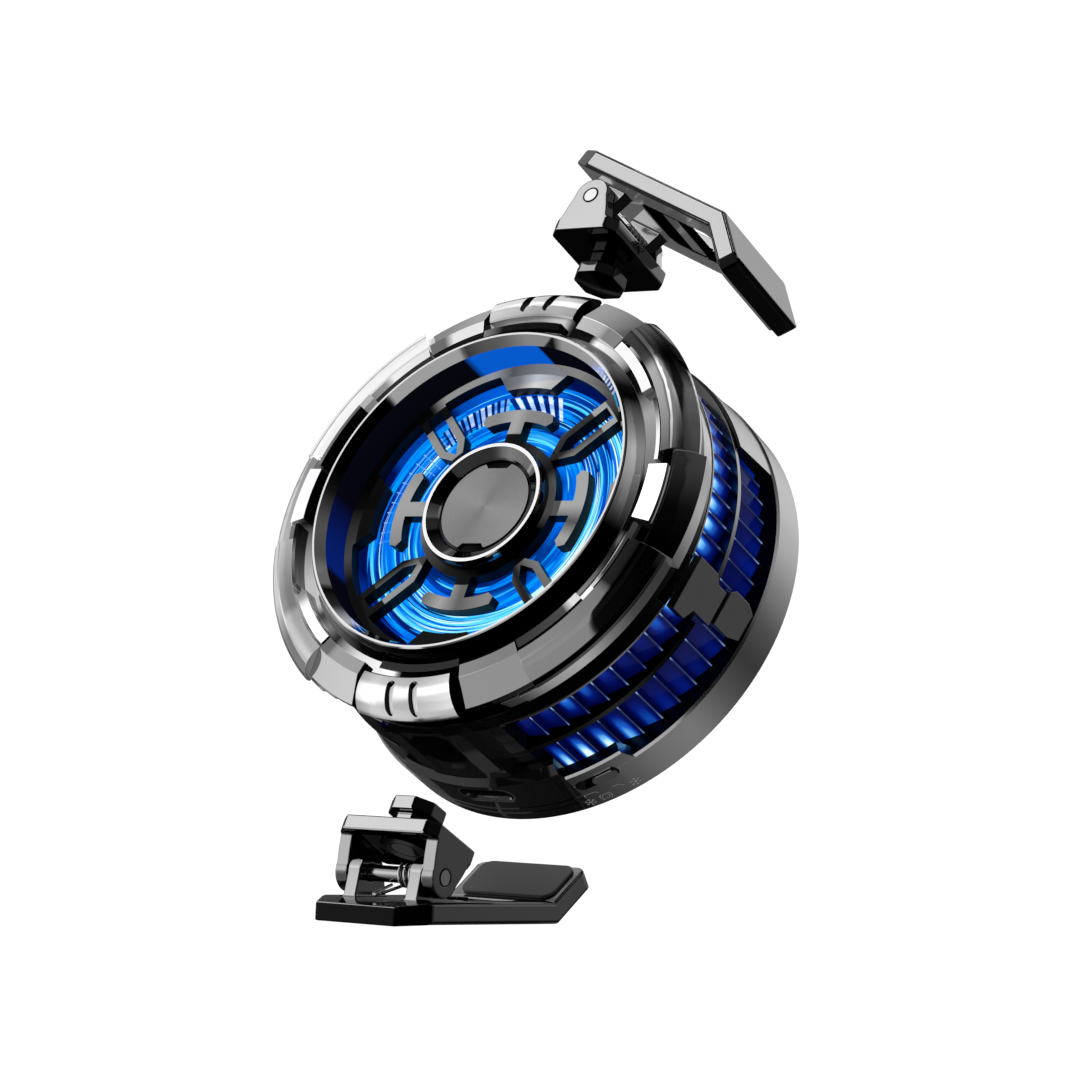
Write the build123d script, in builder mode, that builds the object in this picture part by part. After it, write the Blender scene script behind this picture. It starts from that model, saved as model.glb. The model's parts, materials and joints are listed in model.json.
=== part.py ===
from build123d import *
from math import cos, pi, radians, sin, sqrt, tan
import os

# Clip-on cooling fan for a phone. Millimetres. The origin is the centre of the cooling face
# that lies on the phone, and +Z points from there to the fan grille.

# Body: radii and heights that can be set by themselves
base_radius = 32.5
base_height = 6.1
cage_height = 14.3
housing_height = 8.0
plate_rise = 1.1
edge_break = 0.4

# Back face: cooling plate, pad, magnets and coil
cooling_thickness = 1.6
cooling_lip = 1.4
cooling_gap = 0.1
pad_thickness = 0.9
pad_rim = 3.9
magnet_thickness = 2.0
magnet_width = 3.6
magnet_gap = 0.3
coil_width = 1.9
coil_thickness = 1.0
floor_thickness = 1.4
screw_radius = 0.7
screw_gap = 0.1
screw_head_radius = 1.2
screw_head_height = 1.0

# Inside: thermoelectric module, heat sink and sleeve
module_gap = 1.1
module_thickness = 3.4
sink_gap = 0.8
sink_base = 1.6
sink_fin_height = 5.9
sink_fin_thickness = 0.6
sink_fin_count = 44
sink_core_radius = 8.0
sleeve_wall = 0.8

# Louvres round the side
louvre_setback = 2.2
louvre_depth = 1.9
louvre_bite = 1.0
louvre_count = 62
louvre_end = 70.6
lower_louvre_height = 8.2
rib_height = 0.8
rib_rise = 1.0
rim_thickness = 0.3
panel_gap = 0.3
guard_lean = 0.5
guard_drop = 0.3
step_height = 2.1

# Front housing
led_board_width = 1.6
led_board_thickness = 0.8
led_gap = 0.4
duct_wall = 1.3
duct_ledge = 0.6
band_setback = 0.6
band_slope = 1.0
band_depth = 1.5
band_rise = 3.1
band_height = 2.7
band_groove = 0.2
band_end = 60.4
band_step = 4.8
band_step_depth = 0.25
deck_setback = 4.6
panel_flat = 0.3
panel_setback = 0.2
panel_foot = 0.6
armour_start = -14.0
armour_end = 12.0
armour_setback = 3.2
armour_rise = 0.5
lug_half_angle = 14.4
lug_setback = 0.55
lug_foot = 0.5
lug_shelf = 0.8
lug_flat = 1.3
lug_rise = 0.25
lug_slot_length = 3.9
lug_slot_width = 1.3
lug_slot_angle = 3.65
segment_setback = 1.0
segment_drop = 1.1
flange_shelf = 1.8
flange_width = 1.4
strip_shelf = 0.6
deck_block_shelf = 1.2
deck_block_reach = 1.3
vent_count = 4
vent_start = 4.5
vent_pitch = 2.2
vent_width = 1.0

# Bezel
bezel_wall = 1.35
bezel_lip_rise = 2.6
skirt_reach = 1.35

# Fan
bracket_thickness = 1.0
shaft_radius = 0.75
running_gap = 0.03
bush_radius = 2.0
bush_wall = 0.6
tip_gap = 1.4
rotor_hub_radius = 9.0
rotor_skirt = 0.7
rotor_magnet_thickness = 0.9
rotor_height = 8.2
cap_thickness = 0.9
blade_count = 11
blade_sweep = 34
blade_thickness = 2
blade_drop = 1.0
rotor_gap = 0.5
stator_gap = 0.5
stator_height = 4.0

# Grille and hub
grille_thickness = 1.7
grille_depth = 5.6
grille_ring_width = 1.25
tab_reach = 3.8
tab_half_angle = 11
tab_foot_angle = 15.6
loop_width = 4.3
loop_bar = 1.05
loop_shoulder_radius = 13.3
spoke_width = 2.2
bar_inner_radius = 13.3
bar_outer_radius = 15.1
bar_half_angle = 23.5
bar_tip_angle = 2.5
collar_radius = 10.3
hub_ring_radius = 9.05
hub_ring_width = 0.65
hub_ring_height = 1.8
badge_radius = 6.6
badge_thickness = 0.8
badge_gap = 0.35
notch_depth = 0.75

# Sockets for the clips
socket_height = 18.9
socket_width = 7.0
socket_length = 7.2
socket_depth = 4.3
socket_setback = 0.7
socket_half_angle = 11
shoulder_half_angle = 18
strut_width = 2.7
strut_angle = 8.5
strut_low = 13.0

# Port, board and switch
port_width = 8.94
port_height = 3.26
port_depth = 5.2
port_centre = 7.0
port_panel_height = 10.8
port_panel_half_angle = 22.4
port_wall = 0.3
board_thickness = 0.8
board_half_angle = 17.6
switch_angle = -61.75
switch_centre = 5.5
switch_slot = 6.3
switch_slot_height = 2.0
switch_body_width = 6.0
knob_length = 3.6
knob_height = 1.6

# Clips
head_height = 1.9
head_width = 6.9
head_length = 6.5
head_corner = 1.85
neck_height = 2.05
neck_step = 1.0
swivel_radius = 2.0
swivel_gap = 0.05
clip_plate_width = 15.6
clip_plate_length = 10.6
clip_plate_thickness = 2.1
clip_plate_corner = 1.4
recess_depth = 0.5
washer_radius = 3.3
washer_thickness = 0.5
ear_thickness = 1.9
ear_width = 6.4
ear_round = 2.65
pin_height = 5.6
pin_radius = 1.05
pin_gap = 0.05
arm_lug_thickness = 1.95
arm_offset = 3.0
arm_angle = 25.4
bent_angle = 60.0
thumb_length = 8.0
knee_length = 22.5
bent_length = 8.0
arm_thickness = 2.8
arm_width = 17.6
arm_bevel = 0.3
thumb_width = 12.5
thumb_taper = 4.5
tip_corner = 1.5
clip_pad_start = 0.6
clip_pad_length = 7.1
clip_pad_margin = 1.35
clip_pad_thickness = 0.4
clip_pad_corner = 1.6
window_start = 5.1
window_length = 15.0
window_width = 9.4
window_corner = 1.0
cross_start = 9.2
cross_width = 3.2
cross_low = 0.2
cross_thickness = 1.2
wire_radius = 0.21
coil_radius = 1.39
coil_pitch = 0.85
coil_turns = 3
bow_turn = 50.0
bow_half_width = 0.9
bow_length = 4.6
bow_radius = 0.7
bottom_clip_gap = 7.4
top_clip_gap = 6.45

# Radii worked out from the outside inwards
louvre_outer = base_radius - louvre_setback
louvre_inner = louvre_outer - louvre_depth
panel_inner = louvre_outer + panel_gap
screw_circle = louvre_inner - screw_gap - screw_radius
sleeve_outer = screw_circle - screw_radius - screw_gap
sleeve_bore = sleeve_outer - sleeve_wall
sink_radius = sleeve_bore - sink_gap
bore = sleeve_bore - 2 * led_gap - led_board_width
duct_bore = bore - duct_wall
rotor_radius = duct_bore - duct_ledge - tip_gap
tab_inner_radius = duct_bore - tab_reach
rim_radius = louvre_outer + 0.1
band_top_radius = base_radius - band_setback
band_low_radius = band_top_radius - band_slope
band_seat_radius = band_low_radius - band_depth
deck_edge_radius = base_radius - deck_setback
panel_top_radius = deck_edge_radius + panel_flat
panel_edge_radius = base_radius - panel_setback
armour_inner = base_radius - armour_setback
lug_edge_radius = base_radius - lug_setback
lug_inner = deck_edge_radius - lug_shelf
segment_radius = base_radius - segment_setback
flange_inner = deck_edge_radius - flange_shelf
socket_radius = base_radius - socket_setback
pad_radius = base_radius - pad_rim
magnet_outer = screw_circle - screw_head_radius - 2 * screw_gap
magnet_inner = magnet_outer - magnet_width
coil_inner = magnet_inner - magnet_gap - coil_width
cooling_radius = coil_inner - 2 * cooling_gap
module_side = (cooling_radius - cooling_lip - module_gap) * sqrt(2)
bottom_clip_out = base_radius + bottom_clip_gap
top_clip_out = base_radius + top_clip_gap

# Levels
cage_top = base_height + cage_height
band_low = cage_top + band_rise
band_top = band_low + band_height
deck = cage_top + housing_height
face = deck + plate_rise
bezel_bore = duct_bore + 0.1
bezel_outer = bezel_bore + bezel_wall
bezel_seat = deck - 1.3
lip = deck + bezel_lip_rise
grille_top = lip - grille_depth
grille_low = grille_top - grille_thickness
duct_top = grille_top - duct_ledge
foot = (band_low_radius, band_top + band_groove)
magnet_top = pad_thickness + magnet_thickness
floor_top = magnet_top + floor_thickness
sink_low = cooling_thickness + module_thickness
sink_top = sink_low + sink_base + sink_fin_height
bracket_top = sink_top + bracket_thickness
louvre_middle = base_height + lower_louvre_height
rib_top = louvre_middle + rib_height
louvre_top = cage_top - rim_thickness
guard_top = louvre_middle - guard_drop
step_top = base_height + step_height
socket_top = band_low - 0.4
board_top = port_centre - port_height / 2
clip_base_low = head_height + neck_height
pin_level = clip_base_low + pin_height


def save(piece, name):
    """Names a finished piece and writes its file."""
    piece.part.label = name
    export_step(piece.part, f"parts/{name}.step")


def radial(angle):
    """The half plane through Z at an angle: its x is the radius and its y is the height."""
    a = radians(angle)
    return Plane(origin=(0, 0, 0), x_dir=(cos(a), sin(a), 0), z_dir=(sin(a), -cos(a), 0))


def tangent(angle, radius, height):
    """The plane that faces outwards at an angle: its x runs round the body and its y is up."""
    a = radians(angle)
    origin = (radius * cos(a), radius * sin(a), height)
    return Plane(origin=origin, x_dir=(-sin(a), cos(a), 0), z_dir=(cos(a), sin(a), 0))


def turned(section, start=0, end=360, mode=Mode.ADD):
    """Turns a closed section of (radius, height) points about Z, in the current part."""
    with BuildSketch(radial(start)) as profile:
        with BuildLine():
            Polyline(*section, close=True)
        make_face()
    revolve(profile.sketch, axis=Axis.Z, revolution_arc=end - start, mode=mode)


def box_section(inner, outer, low, high):
    """A rectangle of (radius, height) points."""
    return [(inner, low), (outer, low), (outer, high), (inner, high)]


def polar(radius, angle):
    """A point on a flat drawing from its radius and angle."""
    return (radius * cos(radians(angle)), radius * sin(radians(angle)))


def slope_height(radius):
    """Height of the front housing's sloping shoulder at a radius."""
    share = (radius - deck_edge_radius) / (foot[0] - deck_edge_radius)
    return deck + (foot[1] - deck) * share


# Base: a ring with pockets for what it carries, and a raised panel at the switch
switch_panel_end = -51
ramp_angle = -53
ramp_length = 1.5
guard_spans = ((30, 72, guard_top), (108, 150, guard_top), (210, 270 - port_panel_half_angle, step_top))
with BuildPart() as switch_panel:
    turned(
        [
            (panel_inner, base_height - 1),
            (base_radius - 0.02, base_height - 1),
            (base_radius - 0.02, step_top - 0.3),
            (base_radius - 0.3, step_top),
            (panel_inner, step_top),
        ],
        -90 + port_panel_half_angle,
        switch_panel_end,
    )
    with BuildSketch(tangent(ramp_angle, panel_inner - 1, base_height)) as ramp:
        with BuildLine():
            Polyline(
                (0, step_height + 1),
                (0, step_height),
                (ramp_length, -1.5),
                (2 * ramp_length, -1.5),
                (2 * ramp_length, step_height + 1),
                close=True,
            )
        make_face()
    extrude(ramp.sketch, amount=base_radius - panel_inner + 2, mode=Mode.SUBTRACT)

with BuildPart() as base_housing:
    turned(
        [
            (cooling_radius - cooling_lip, cooling_thickness),
            (cooling_radius + cooling_gap, cooling_thickness),
            (cooling_radius + cooling_gap, magnet_top),
            (magnet_outer, magnet_top),
            (magnet_outer, pad_thickness),
            (pad_radius, pad_thickness),
            (pad_radius, 0),
            (base_radius - edge_break, 0),
            (base_radius, edge_break),
            (base_radius, base_height - 0.3),
            (base_radius - 0.3, base_height),
            (sleeve_bore - 0.1, base_height),
            (sleeve_bore - 0.1, floor_top),
            (cooling_radius - cooling_lip, floor_top),
        ]
    )
    add(switch_panel.part)
    for start, end, top in guard_spans:
        turned(
            [
                (panel_inner, base_height - 1.2),
                (base_radius - 0.2, base_height - 1.2),
                (base_radius - 0.25, base_height + 0.1),
                (base_radius - 0.2 - guard_lean, top),
                (panel_inner, top),
            ],
            start,
            end,
        )
    turned(
        box_section(panel_inner, base_radius + 1, -1, port_panel_height + 1),
        -90 - port_panel_half_angle,
        -90 + port_panel_half_angle,
        mode=Mode.SUBTRACT,
    )
    turned(
        box_section(sleeve_outer + 0.1, panel_inner + 0.1, board_top - board_thickness, base_height + 1),
        -90 - board_half_angle - 0.4,
        -90 + board_half_angle + 0.4,
        mode=Mode.SUBTRACT,
    )
    with BuildSketch(tangent(switch_angle, panel_inner + 0.4, switch_centre)) as slot:
        SlotOverall(switch_slot, switch_slot_height)
    extrude(slot.sketch, amount=base_radius - panel_inner, mode=Mode.SUBTRACT)
    with BuildSketch(tangent(switch_angle, panel_inner + 0.4, base_height - 1.0)) as pocket:
        Rectangle(switch_body_width + 0.2, 2.3)
    extrude(pocket.sketch, amount=-2.1, mode=Mode.SUBTRACT)
    with BuildSketch(Plane.XY.offset(pad_thickness)) as screw_holes:
        with PolarLocations(screw_circle, 4, start_angle=45):
            Circle(screw_radius)
    extrude(screw_holes.sketch, amount=base_height, mode=Mode.SUBTRACT)
    with BuildSketch(Plane.XY.offset(pad_thickness)) as head_holes:
        with PolarLocations(screw_circle, 4, start_angle=45):
            Circle(screw_head_radius + 0.05)
    extrude(head_holes.sketch, amount=screw_head_height, mode=Mode.SUBTRACT)
save(base_housing, "base_housing")

# Port panel: the curved plate round the charging socket
with BuildPart() as port_panel:
    turned(
        [
            (panel_inner, 0),
            (base_radius - edge_break, 0),
            (base_radius, edge_break),
            (base_radius, 2.0),
            (base_radius - 0.25, 2.2),
            (base_radius, 2.4),
            (base_radius, 3.3),
            (base_radius - 0.25, 3.5),
            (base_radius, 3.7),
            (base_radius, port_panel_height - 1.2),
            (base_radius - 0.9, port_panel_height),
            (panel_inner, port_panel_height),
        ],
        -90 - port_panel_half_angle + 0.15,
        -90 + port_panel_half_angle - 0.15,
    )
    with BuildSketch(Plane.XZ.offset(panel_inner - 2)) as port_slot:
        with Locations((0, port_centre)):
            SlotOverall(port_width + 0.16, port_height + 0.14)
    extrude(port_slot.sketch, amount=5, mode=Mode.SUBTRACT)
save(port_panel, "port_panel")

# Back face pieces
with BuildPart() as cooling_plate:
    with BuildSketch(Plane.XY):
        Circle(cooling_radius)
    extrude(amount=cooling_thickness)
save(cooling_plate, "cooling_plate")

with BuildPart() as rear_pad:
    turned(box_section(cooling_radius + cooling_gap, pad_radius, 0, pad_thickness))
save(rear_pad, "rear_pad")

with BuildPart() as magnet_ring:
    turned(box_section(magnet_inner, magnet_outer, pad_thickness, magnet_top))
save(magnet_ring, "magnet_ring")

with BuildPart() as charging_coil:
    turned(box_section(coil_inner, coil_inner + coil_width, magnet_top - coil_thickness, magnet_top))
save(charging_coil, "charging_coil")

with BuildPart() as peltier_module:
    with BuildSketch(Plane.XY.offset(cooling_thickness)):
        Rectangle(module_side, module_side)
    extrude(amount=module_thickness)
save(peltier_module, "peltier_module")

with BuildPart() as heat_sink:
    with BuildSketch(Plane.XY.offset(sink_low)):
        Circle(sink_radius)
    extrude(amount=sink_base)
    with BuildSketch(Plane.XY.offset(sink_low + sink_base)) as sink_fins:
        with PolarLocations((sink_radius + sink_core_radius) / 2 - 0.05, sink_fin_count):
            Rectangle(sink_radius - sink_core_radius - 0.1, sink_fin_thickness)
    extrude(sink_fins.sketch, amount=sink_fin_height)
save(heat_sink, "heat_sink")

# Electronics
with BuildPart() as main_board:
    board_low = board_top - board_thickness
    board_section = box_section(sleeve_outer + 0.2, panel_inner - 0.1, board_low, board_top)
    turned(board_section, -90 - board_half_angle, -90 + board_half_angle)
save(main_board, "main_board")

with BuildPart() as usb_c_port:
    port_plane = Plane.XZ.offset(base_radius - port_wall - port_depth)
    with BuildSketch(port_plane) as port_shell:
        with Locations((0, port_centre)):
            SlotOverall(port_width, port_height)
    extrude(port_shell.sketch, amount=port_depth)
    with BuildSketch(port_plane.offset(0.8)) as port_mouth:
        with Locations((0, port_centre)):
            SlotOverall(port_width - 2 * port_wall, port_height - 2 * port_wall - 0.1)
    extrude(port_mouth.sketch, amount=port_depth, mode=Mode.SUBTRACT)
    with BuildSketch(port_plane.offset(0.4)) as port_tongue:
        with Locations((0, port_centre)):
            Rectangle(6.7, 0.7)
    extrude(port_tongue.sketch, amount=port_depth - 1.2)
save(usb_c_port, "usb_c_port")

with BuildPart() as switch_body:
    with BuildSketch(tangent(switch_angle, panel_inner + 0.4, base_height - 1.1)):
        Rectangle(switch_body_width, 2.1)
    extrude(amount=-2.0)
save(switch_body, "switch_body")

with BuildPart() as switch_knob:
    knob_shift = switch_slot / 2 - 0.2 - knob_length / 2
    knob_plane = tangent(switch_angle, panel_inner + 0.45, switch_centre)
    with BuildSketch(knob_plane) as knob_face:
        with Locations((knob_shift, 0)):
            SlotOverall(knob_length, knob_height)
    extrude(knob_face.sketch, amount=base_radius - panel_inner - 0.2)
save(switch_knob, "switch_knob")

with BuildPart() as led_board:
    led_low = cage_top - led_board_thickness
    turned(box_section(bore + led_gap, sleeve_bore - led_gap, led_low, cage_top))
save(led_board, "led_board")

# Sleeve and louvres: the wall that the fan light shines through
with BuildPart() as inner_sleeve:
    turned(box_section(sleeve_bore, sleeve_outer, base_height, cage_top))
save(inner_sleeve, "inner_sleeve")


def louvres(low, high, centre):
    """A row of saw-tooth louvres on one side, in the current part."""
    pitch = 360 / louvre_count
    teeth = int(2 * louvre_end / pitch)
    start = centre - teeth * pitch / 2
    outline = [polar(louvre_inner, start + teeth * pitch - n * pitch) for n in range(teeth + 1)]
    for n in range(teeth):
        outline.append(polar(louvre_outer - louvre_bite, start + n * pitch))
        outline.append(polar(louvre_outer, start + (n + 1) * pitch))
    with BuildSketch(Plane.XY.offset(low)) as row:
        with BuildLine():
            Polyline(*outline, close=True)
        make_face()
    extrude(row.sketch, amount=high - low)


with BuildPart() as lower_louvres:
    louvres(base_height, louvre_middle, 0)
    louvres(base_height, louvre_middle, 180)
save(lower_louvres, "lower_louvres")

with BuildPart() as upper_louvres:
    louvres(rib_top, louvre_top, 0)
    louvres(rib_top, louvre_top, 180)
save(upper_louvres, "upper_louvres")

bridge_start = -19.5
bridge_end = -8.0
with BuildPart() as middle_rib:
    rib_section = box_section(louvre_inner, louvre_outer + rib_rise, louvre_middle, rib_top)
    turned(rib_section, -louvre_end, bridge_start)
    turned(rib_section, bridge_end, louvre_end)
    turned(rib_section, 180 - louvre_end, 180 - bridge_end)
    turned(rib_section, 180 - bridge_start, 180 + louvre_end)
    bridge_section = box_section(louvre_inner, louvre_outer, louvre_middle, rib_top)
    turned(bridge_section, bridge_start, bridge_end)
    turned(bridge_section, 180 - bridge_end, 180 - bridge_start)
save(middle_rib, "middle_rib")

with BuildPart() as rim_ring:
    rim_end = 90 - shoulder_half_angle - 0.1
    rim_section = box_section(louvre_inner, rim_radius + 0.1, louvre_top, cage_top)
    for centre in (0, 180):
        turned(rim_section, centre - rim_end, centre + rim_end)
save(rim_ring, "rim_ring")

# Bridge blocks: one pair each side, flat faced, from the front housing down to the base
bridge_angle = -14
bridge_split = louvre_middle - 2.0
bridge_upper = [
    (-3.9, louvre_top),
    (-3.9, rib_top + 2.3),
    (-2.2, rib_top + 1.3),
    (-2.2, bridge_split + 0.2),
    (2.7, bridge_split + 0.2),
    (2.7, louvre_middle + 0.3),
    (3.7, rib_top + 0.7),
    (3.7, louvre_top),
]
bridge_lower = [
    (-1.6, bridge_split - 0.2),
    (-1.6, base_height + 2.5),
    (-0.8, base_height),
    (3.0, base_height),
    (3.8, base_height + 1.9),
    (3.8, bridge_split - 1.1),
    (3.2, bridge_split - 0.2),
]


def bridge(outline, angle, side, thickness):
    """A flat block against the louvres, in the current part."""
    plane = tangent(angle, louvre_outer + 0.05, 0)
    with BuildSketch(plane) as block:
        with BuildLine():
            Polyline(*[(side * x, y) for x, y in outline], close=True)
        make_face()
    extrude(block.sketch, amount=thickness)


with BuildPart() as bridge_blocks:
    for angle, side in ((bridge_angle, 1), (180 - bridge_angle, -1)):
        bridge(bridge_upper, angle, side, 1.3)
        bridge(bridge_lower, angle, side, 1.6)
    rib_room = box_section(0, louvre_outer + rib_rise + 0.05, louvre_middle, rib_top)
    turned(rib_room, bridge_start - 20, bridge_start + 0.1, mode=Mode.SUBTRACT)
    turned(rib_room, bridge_end - 0.1, bridge_end + 20, mode=Mode.SUBTRACT)
    turned(rib_room, 180 - bridge_start - 0.1, 180 - bridge_start + 20, mode=Mode.SUBTRACT)
    turned(rib_room, 180 - bridge_end - 20, 180 - bridge_end + 0.1, mode=Mode.SUBTRACT)
save(bridge_blocks, "bridge_blocks")

# Sockets: one at each end of the Y axis, with an eight-cornered hole for the clip's head
def socket(angle):
    """A socket block at an angle, in the current part."""
    shoulder = box_section(sleeve_outer + 0.05, louvre_outer, base_height + 3.1, cage_top)
    turned(shoulder, angle - shoulder_half_angle, angle + shoulder_half_angle)
    block = box_section(sleeve_outer + 0.05, socket_radius, port_panel_height, socket_top)
    turned(block, angle - socket_half_angle, angle + socket_half_angle)
    for side in (-1, 1):
        strut = tangent(angle + side * strut_angle, socket_radius - 1, (strut_low + socket_top) / 2)
        with BuildSketch(strut) as strut_face:
            Rectangle(strut_width, socket_top - strut_low)
        extrude(strut_face.sketch, amount=1.4)
    with BuildSketch(tangent(angle, socket_radius - 0.2, strut_low + 0.7)) as ledge:
        Rectangle(2.2, 0.9)
    extrude(ledge.sketch, amount=0.5)
    with BuildSketch(tangent(angle, socket_radius - socket_depth, socket_height)) as hole:
        Rectangle(socket_width, socket_length)
        chamfer(hole.vertices(), length=head_corner - 0.1)
    extrude(hole.sketch, amount=socket_depth + 2, mode=Mode.SUBTRACT)


with BuildPart() as bottom_socket:
    socket(-90)
save(bottom_socket, "bottom_socket")

with BuildPart() as top_socket:
    socket(90)
    rim_room = box_section(louvre_outer, base_radius, 0, port_panel_height)
    turned(rim_room, 60, 120, mode=Mode.SUBTRACT)
save(top_socket, "top_socket")

# Front housing: the dark core that carries the outer plates
vent_section = box_section(rim_radius + 0.2, base_radius, socket_top + 0.6, band_low)
with BuildPart() as front_housing:
    turned(
        [
            (bore, cage_top),
            (rim_radius, cage_top),
            (rim_radius + 0.45, band_low),
            (band_seat_radius, band_low),
            (band_seat_radius, foot[1]),
            foot,
            (deck_edge_radius, deck),
            (bezel_outer + skirt_reach, deck),
            (bezel_outer + skirt_reach, bezel_seat),
            (bore, bezel_seat),
        ]
    )
    for angle in (-90, 90):
        turned(
            box_section(sleeve_outer, base_radius, cage_top - 1, socket_top),
            angle - socket_half_angle,
            angle + socket_half_angle,
            mode=Mode.SUBTRACT,
        )
        for n in range(vent_count):
            start = angle + vent_start + n * vent_pitch
            turned(vent_section, start, start + vent_width, mode=Mode.SUBTRACT)
    with BuildSketch(Plane.XY.offset(cage_top)) as housing_holes:
        with PolarLocations(screw_circle, 4, start_angle=45):
            Circle(screw_radius)
    extrude(housing_holes.sketch, amount=band_rise, mode=Mode.SUBTRACT)
save(front_housing, "front_housing")

with BuildPart() as body_screws:
    with BuildSketch(Plane.XY.offset(pad_thickness)) as screw_heads:
        with PolarLocations(screw_circle, 4, start_angle=45):
            Circle(screw_head_radius)
    extrude(screw_heads.sketch, amount=screw_head_height)
    with BuildSketch(Plane.XY.offset(pad_thickness)) as screw_shanks:
        with PolarLocations(screw_circle, 4, start_angle=45):
            Circle(screw_radius)
    extrude(screw_shanks.sketch, amount=cage_top + band_rise - pad_thickness)
save(body_screws, "body_screws")

# Bevel band: the light ring under the plates, left out at the sockets and the armour
band_section = [
    (band_seat_radius, band_low),
    (band_low_radius, band_low),
    (band_top_radius, band_top),
    (band_seat_radius, band_top),
]
band_block_section = [(r - band_step_depth if r > band_seat_radius else r, z) for r, z in band_section]
with BuildPart() as bevel_bands:
    turned(band_section, -band_end, armour_start - 0.1)
    turned(band_section, armour_end + 0.1, band_end)
    turned(band_section, 180 - band_end, 180 - armour_end - 0.1)
    turned(band_section, 180 - armour_start + 0.1, 180 + band_end)
    for start in (-band_end - band_step, band_end + 0.1, 180 - band_end - band_step, 180 + band_end + 0.1):
        turned(band_block_section, start, start + band_step - 0.1)
save(bevel_bands, "bevel_bands")

# Shoulder panels: four plates that curve from the top face down to the edge
panel_edge = foot[1] + panel_foot
panel_mid = ((panel_top_radius + panel_edge_radius) / 2 + 0.72, (face + panel_edge) / 2 + 0.62)
panel_end = 55.5
panel_spans = {
    "bottom_right": (-panel_end, armour_start - 0.1),
    "top_right": (armour_end + 0.1, panel_end),
    "top_left": (180 - panel_end, 180 - armour_end - 0.1),
    "bottom_left": (180 - armour_start + 0.1, 180 + panel_end),
}
for place, (start, end) in panel_spans.items():
    with BuildPart() as shoulder_panel:
        with BuildSketch(radial(start)) as panel_profile:
            with BuildLine():
                Polyline(
                    (panel_edge_radius, panel_edge),
                    (panel_edge_radius - 0.15, foot[1]),
                    foot,
                    (deck_edge_radius, deck),
                    (deck_edge_radius, face),
                    (panel_top_radius, face),
                )
                ThreePointArc((panel_top_radius, face), panel_mid, (panel_edge_radius, panel_edge))
            make_face()
        revolve(panel_profile.sketch, axis=Axis.Z, revolution_arc=end - start)
    save(shoulder_panel, f"{place}_shoulder_panel")

# Side armour: raised plates over the band on the right and the left
armour_section = [
    (armour_inner, slope_height(armour_inner)),
    (armour_inner, face - 0.9),
    (armour_inner + 0.7, face - 0.5),
    (base_radius - 0.9, face - 1.5),
    (base_radius + armour_rise, band_top + 0.1),
    (base_radius - 0.3, band_low),
    (band_seat_radius, band_low),
    (band_seat_radius, foot[1]),
    foot,
]
with BuildPart() as side_armour:
    for start, end in ((armour_start, armour_end), (180 - armour_end, 180 - armour_start)):
        turned(armour_section, start, end)
save(side_armour, "side_armour")

# Lugs over the sockets, each with two slots, and the segments beside them
lug_top = face + lug_rise
lug_edge = (lug_edge_radius, foot[1] + lug_foot)
lug_mid = ((lug_inner + lug_flat + lug_edge_radius) / 2 + 0.575, (lug_top + lug_edge[1]) / 2 + 0.395)
with BuildPart() as socket_lugs:
    for angle in (-90, 90):
        with BuildSketch(radial(angle - lug_half_angle)) as lug_profile:
            with BuildLine():
                Polyline(
                    lug_edge,
                    (lug_edge[0] - 0.1, foot[1]),
                    foot,
                    (deck_edge_radius, deck),
                    (lug_inner, deck),
                    (lug_inner, lug_top - 0.2),
                    (lug_inner + 0.2, lug_top),
                    (lug_inner + lug_flat, lug_top),
                )
                ThreePointArc((lug_inner + lug_flat, lug_top), lug_mid, lug_edge)
            make_face()
        revolve(lug_profile.sketch, axis=Axis.Z, revolution_arc=2 * lug_half_angle)
        with BuildSketch(Plane.XY.offset(deck - 3)) as lug_slots:
            first = angle - lug_slot_angle
            slot_circle = lug_inner + 2.65
            with PolarLocations(slot_circle, 2, first, 2 * lug_slot_angle, endpoint=True):
                SlotOverall(lug_slot_length, lug_slot_width)
        extrude(lug_slots.sketch, amount=5, mode=Mode.SUBTRACT)
save(socket_lugs, "socket_lugs")

segment_section = [
    foot,
    (deck_edge_radius, deck),
    (flange_inner, deck),
    (flange_inner, face - 0.1),
    (deck_edge_radius + 0.1, face - 0.1),
    (segment_radius, deck - segment_drop),
    (segment_radius, foot[1]),
]
segment_start = panel_end + 0.1
segment_end = 73.2
segment_spans = (
    (-segment_end, -segment_start),
    (segment_start, segment_end),
    (180 - segment_end, 180 - segment_start),
    (180 + segment_start, 180 + segment_end),
)
with BuildPart() as rim_segments:
    for start, end in segment_spans:
        turned(segment_section, start, end)
save(rim_segments, "rim_segments")

# Small flat pieces on the deck, inside the shoulder panels
flange_section = box_section(flange_inner, flange_inner + flange_width, deck, face)
strip_section = box_section(deck_edge_radius - strip_shelf, deck_edge_radius - 0.05, deck, face + 0.1)
block_inner = deck_edge_radius - deck_block_shelf
block_outer = deck_edge_radius + deck_block_reach
block_section = [
    (block_inner, deck),
    (block_inner, face + 0.2),
    (block_outer, face - 0.3),
    (block_outer, slope_height(block_outer)),
    (deck_edge_radius, deck),
]
flange_start, flange_end = 34, 55
strip_start, strip_end = 9.5, 30
block_half_angle = 8.25
bar_inner = bezel_outer + skirt_reach + 0.05
trim_bar_start = -11
trim_bar_end = 16.5
with BuildPart() as deck_trims:
    for middle in (0, 180):
        for side in (-1, 1):
            turned(flange_section, *sorted((middle + side * flange_start, middle + side * flange_end)))
            turned(strip_section, *sorted((middle + side * strip_start, middle + side * strip_end)))
    for angle in (-90, 90):
        bar_section = box_section(bar_inner, bar_inner + 1.1, deck, face - 0.1)
        turned(bar_section, angle + trim_bar_start, angle + trim_bar_end)
save(deck_trims, "deck_trims")

with BuildPart() as deck_blocks:
    for middle in (0, 180):
        turned(block_section, middle - block_half_angle, middle + block_half_angle)
save(deck_blocks, "deck_blocks")

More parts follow.
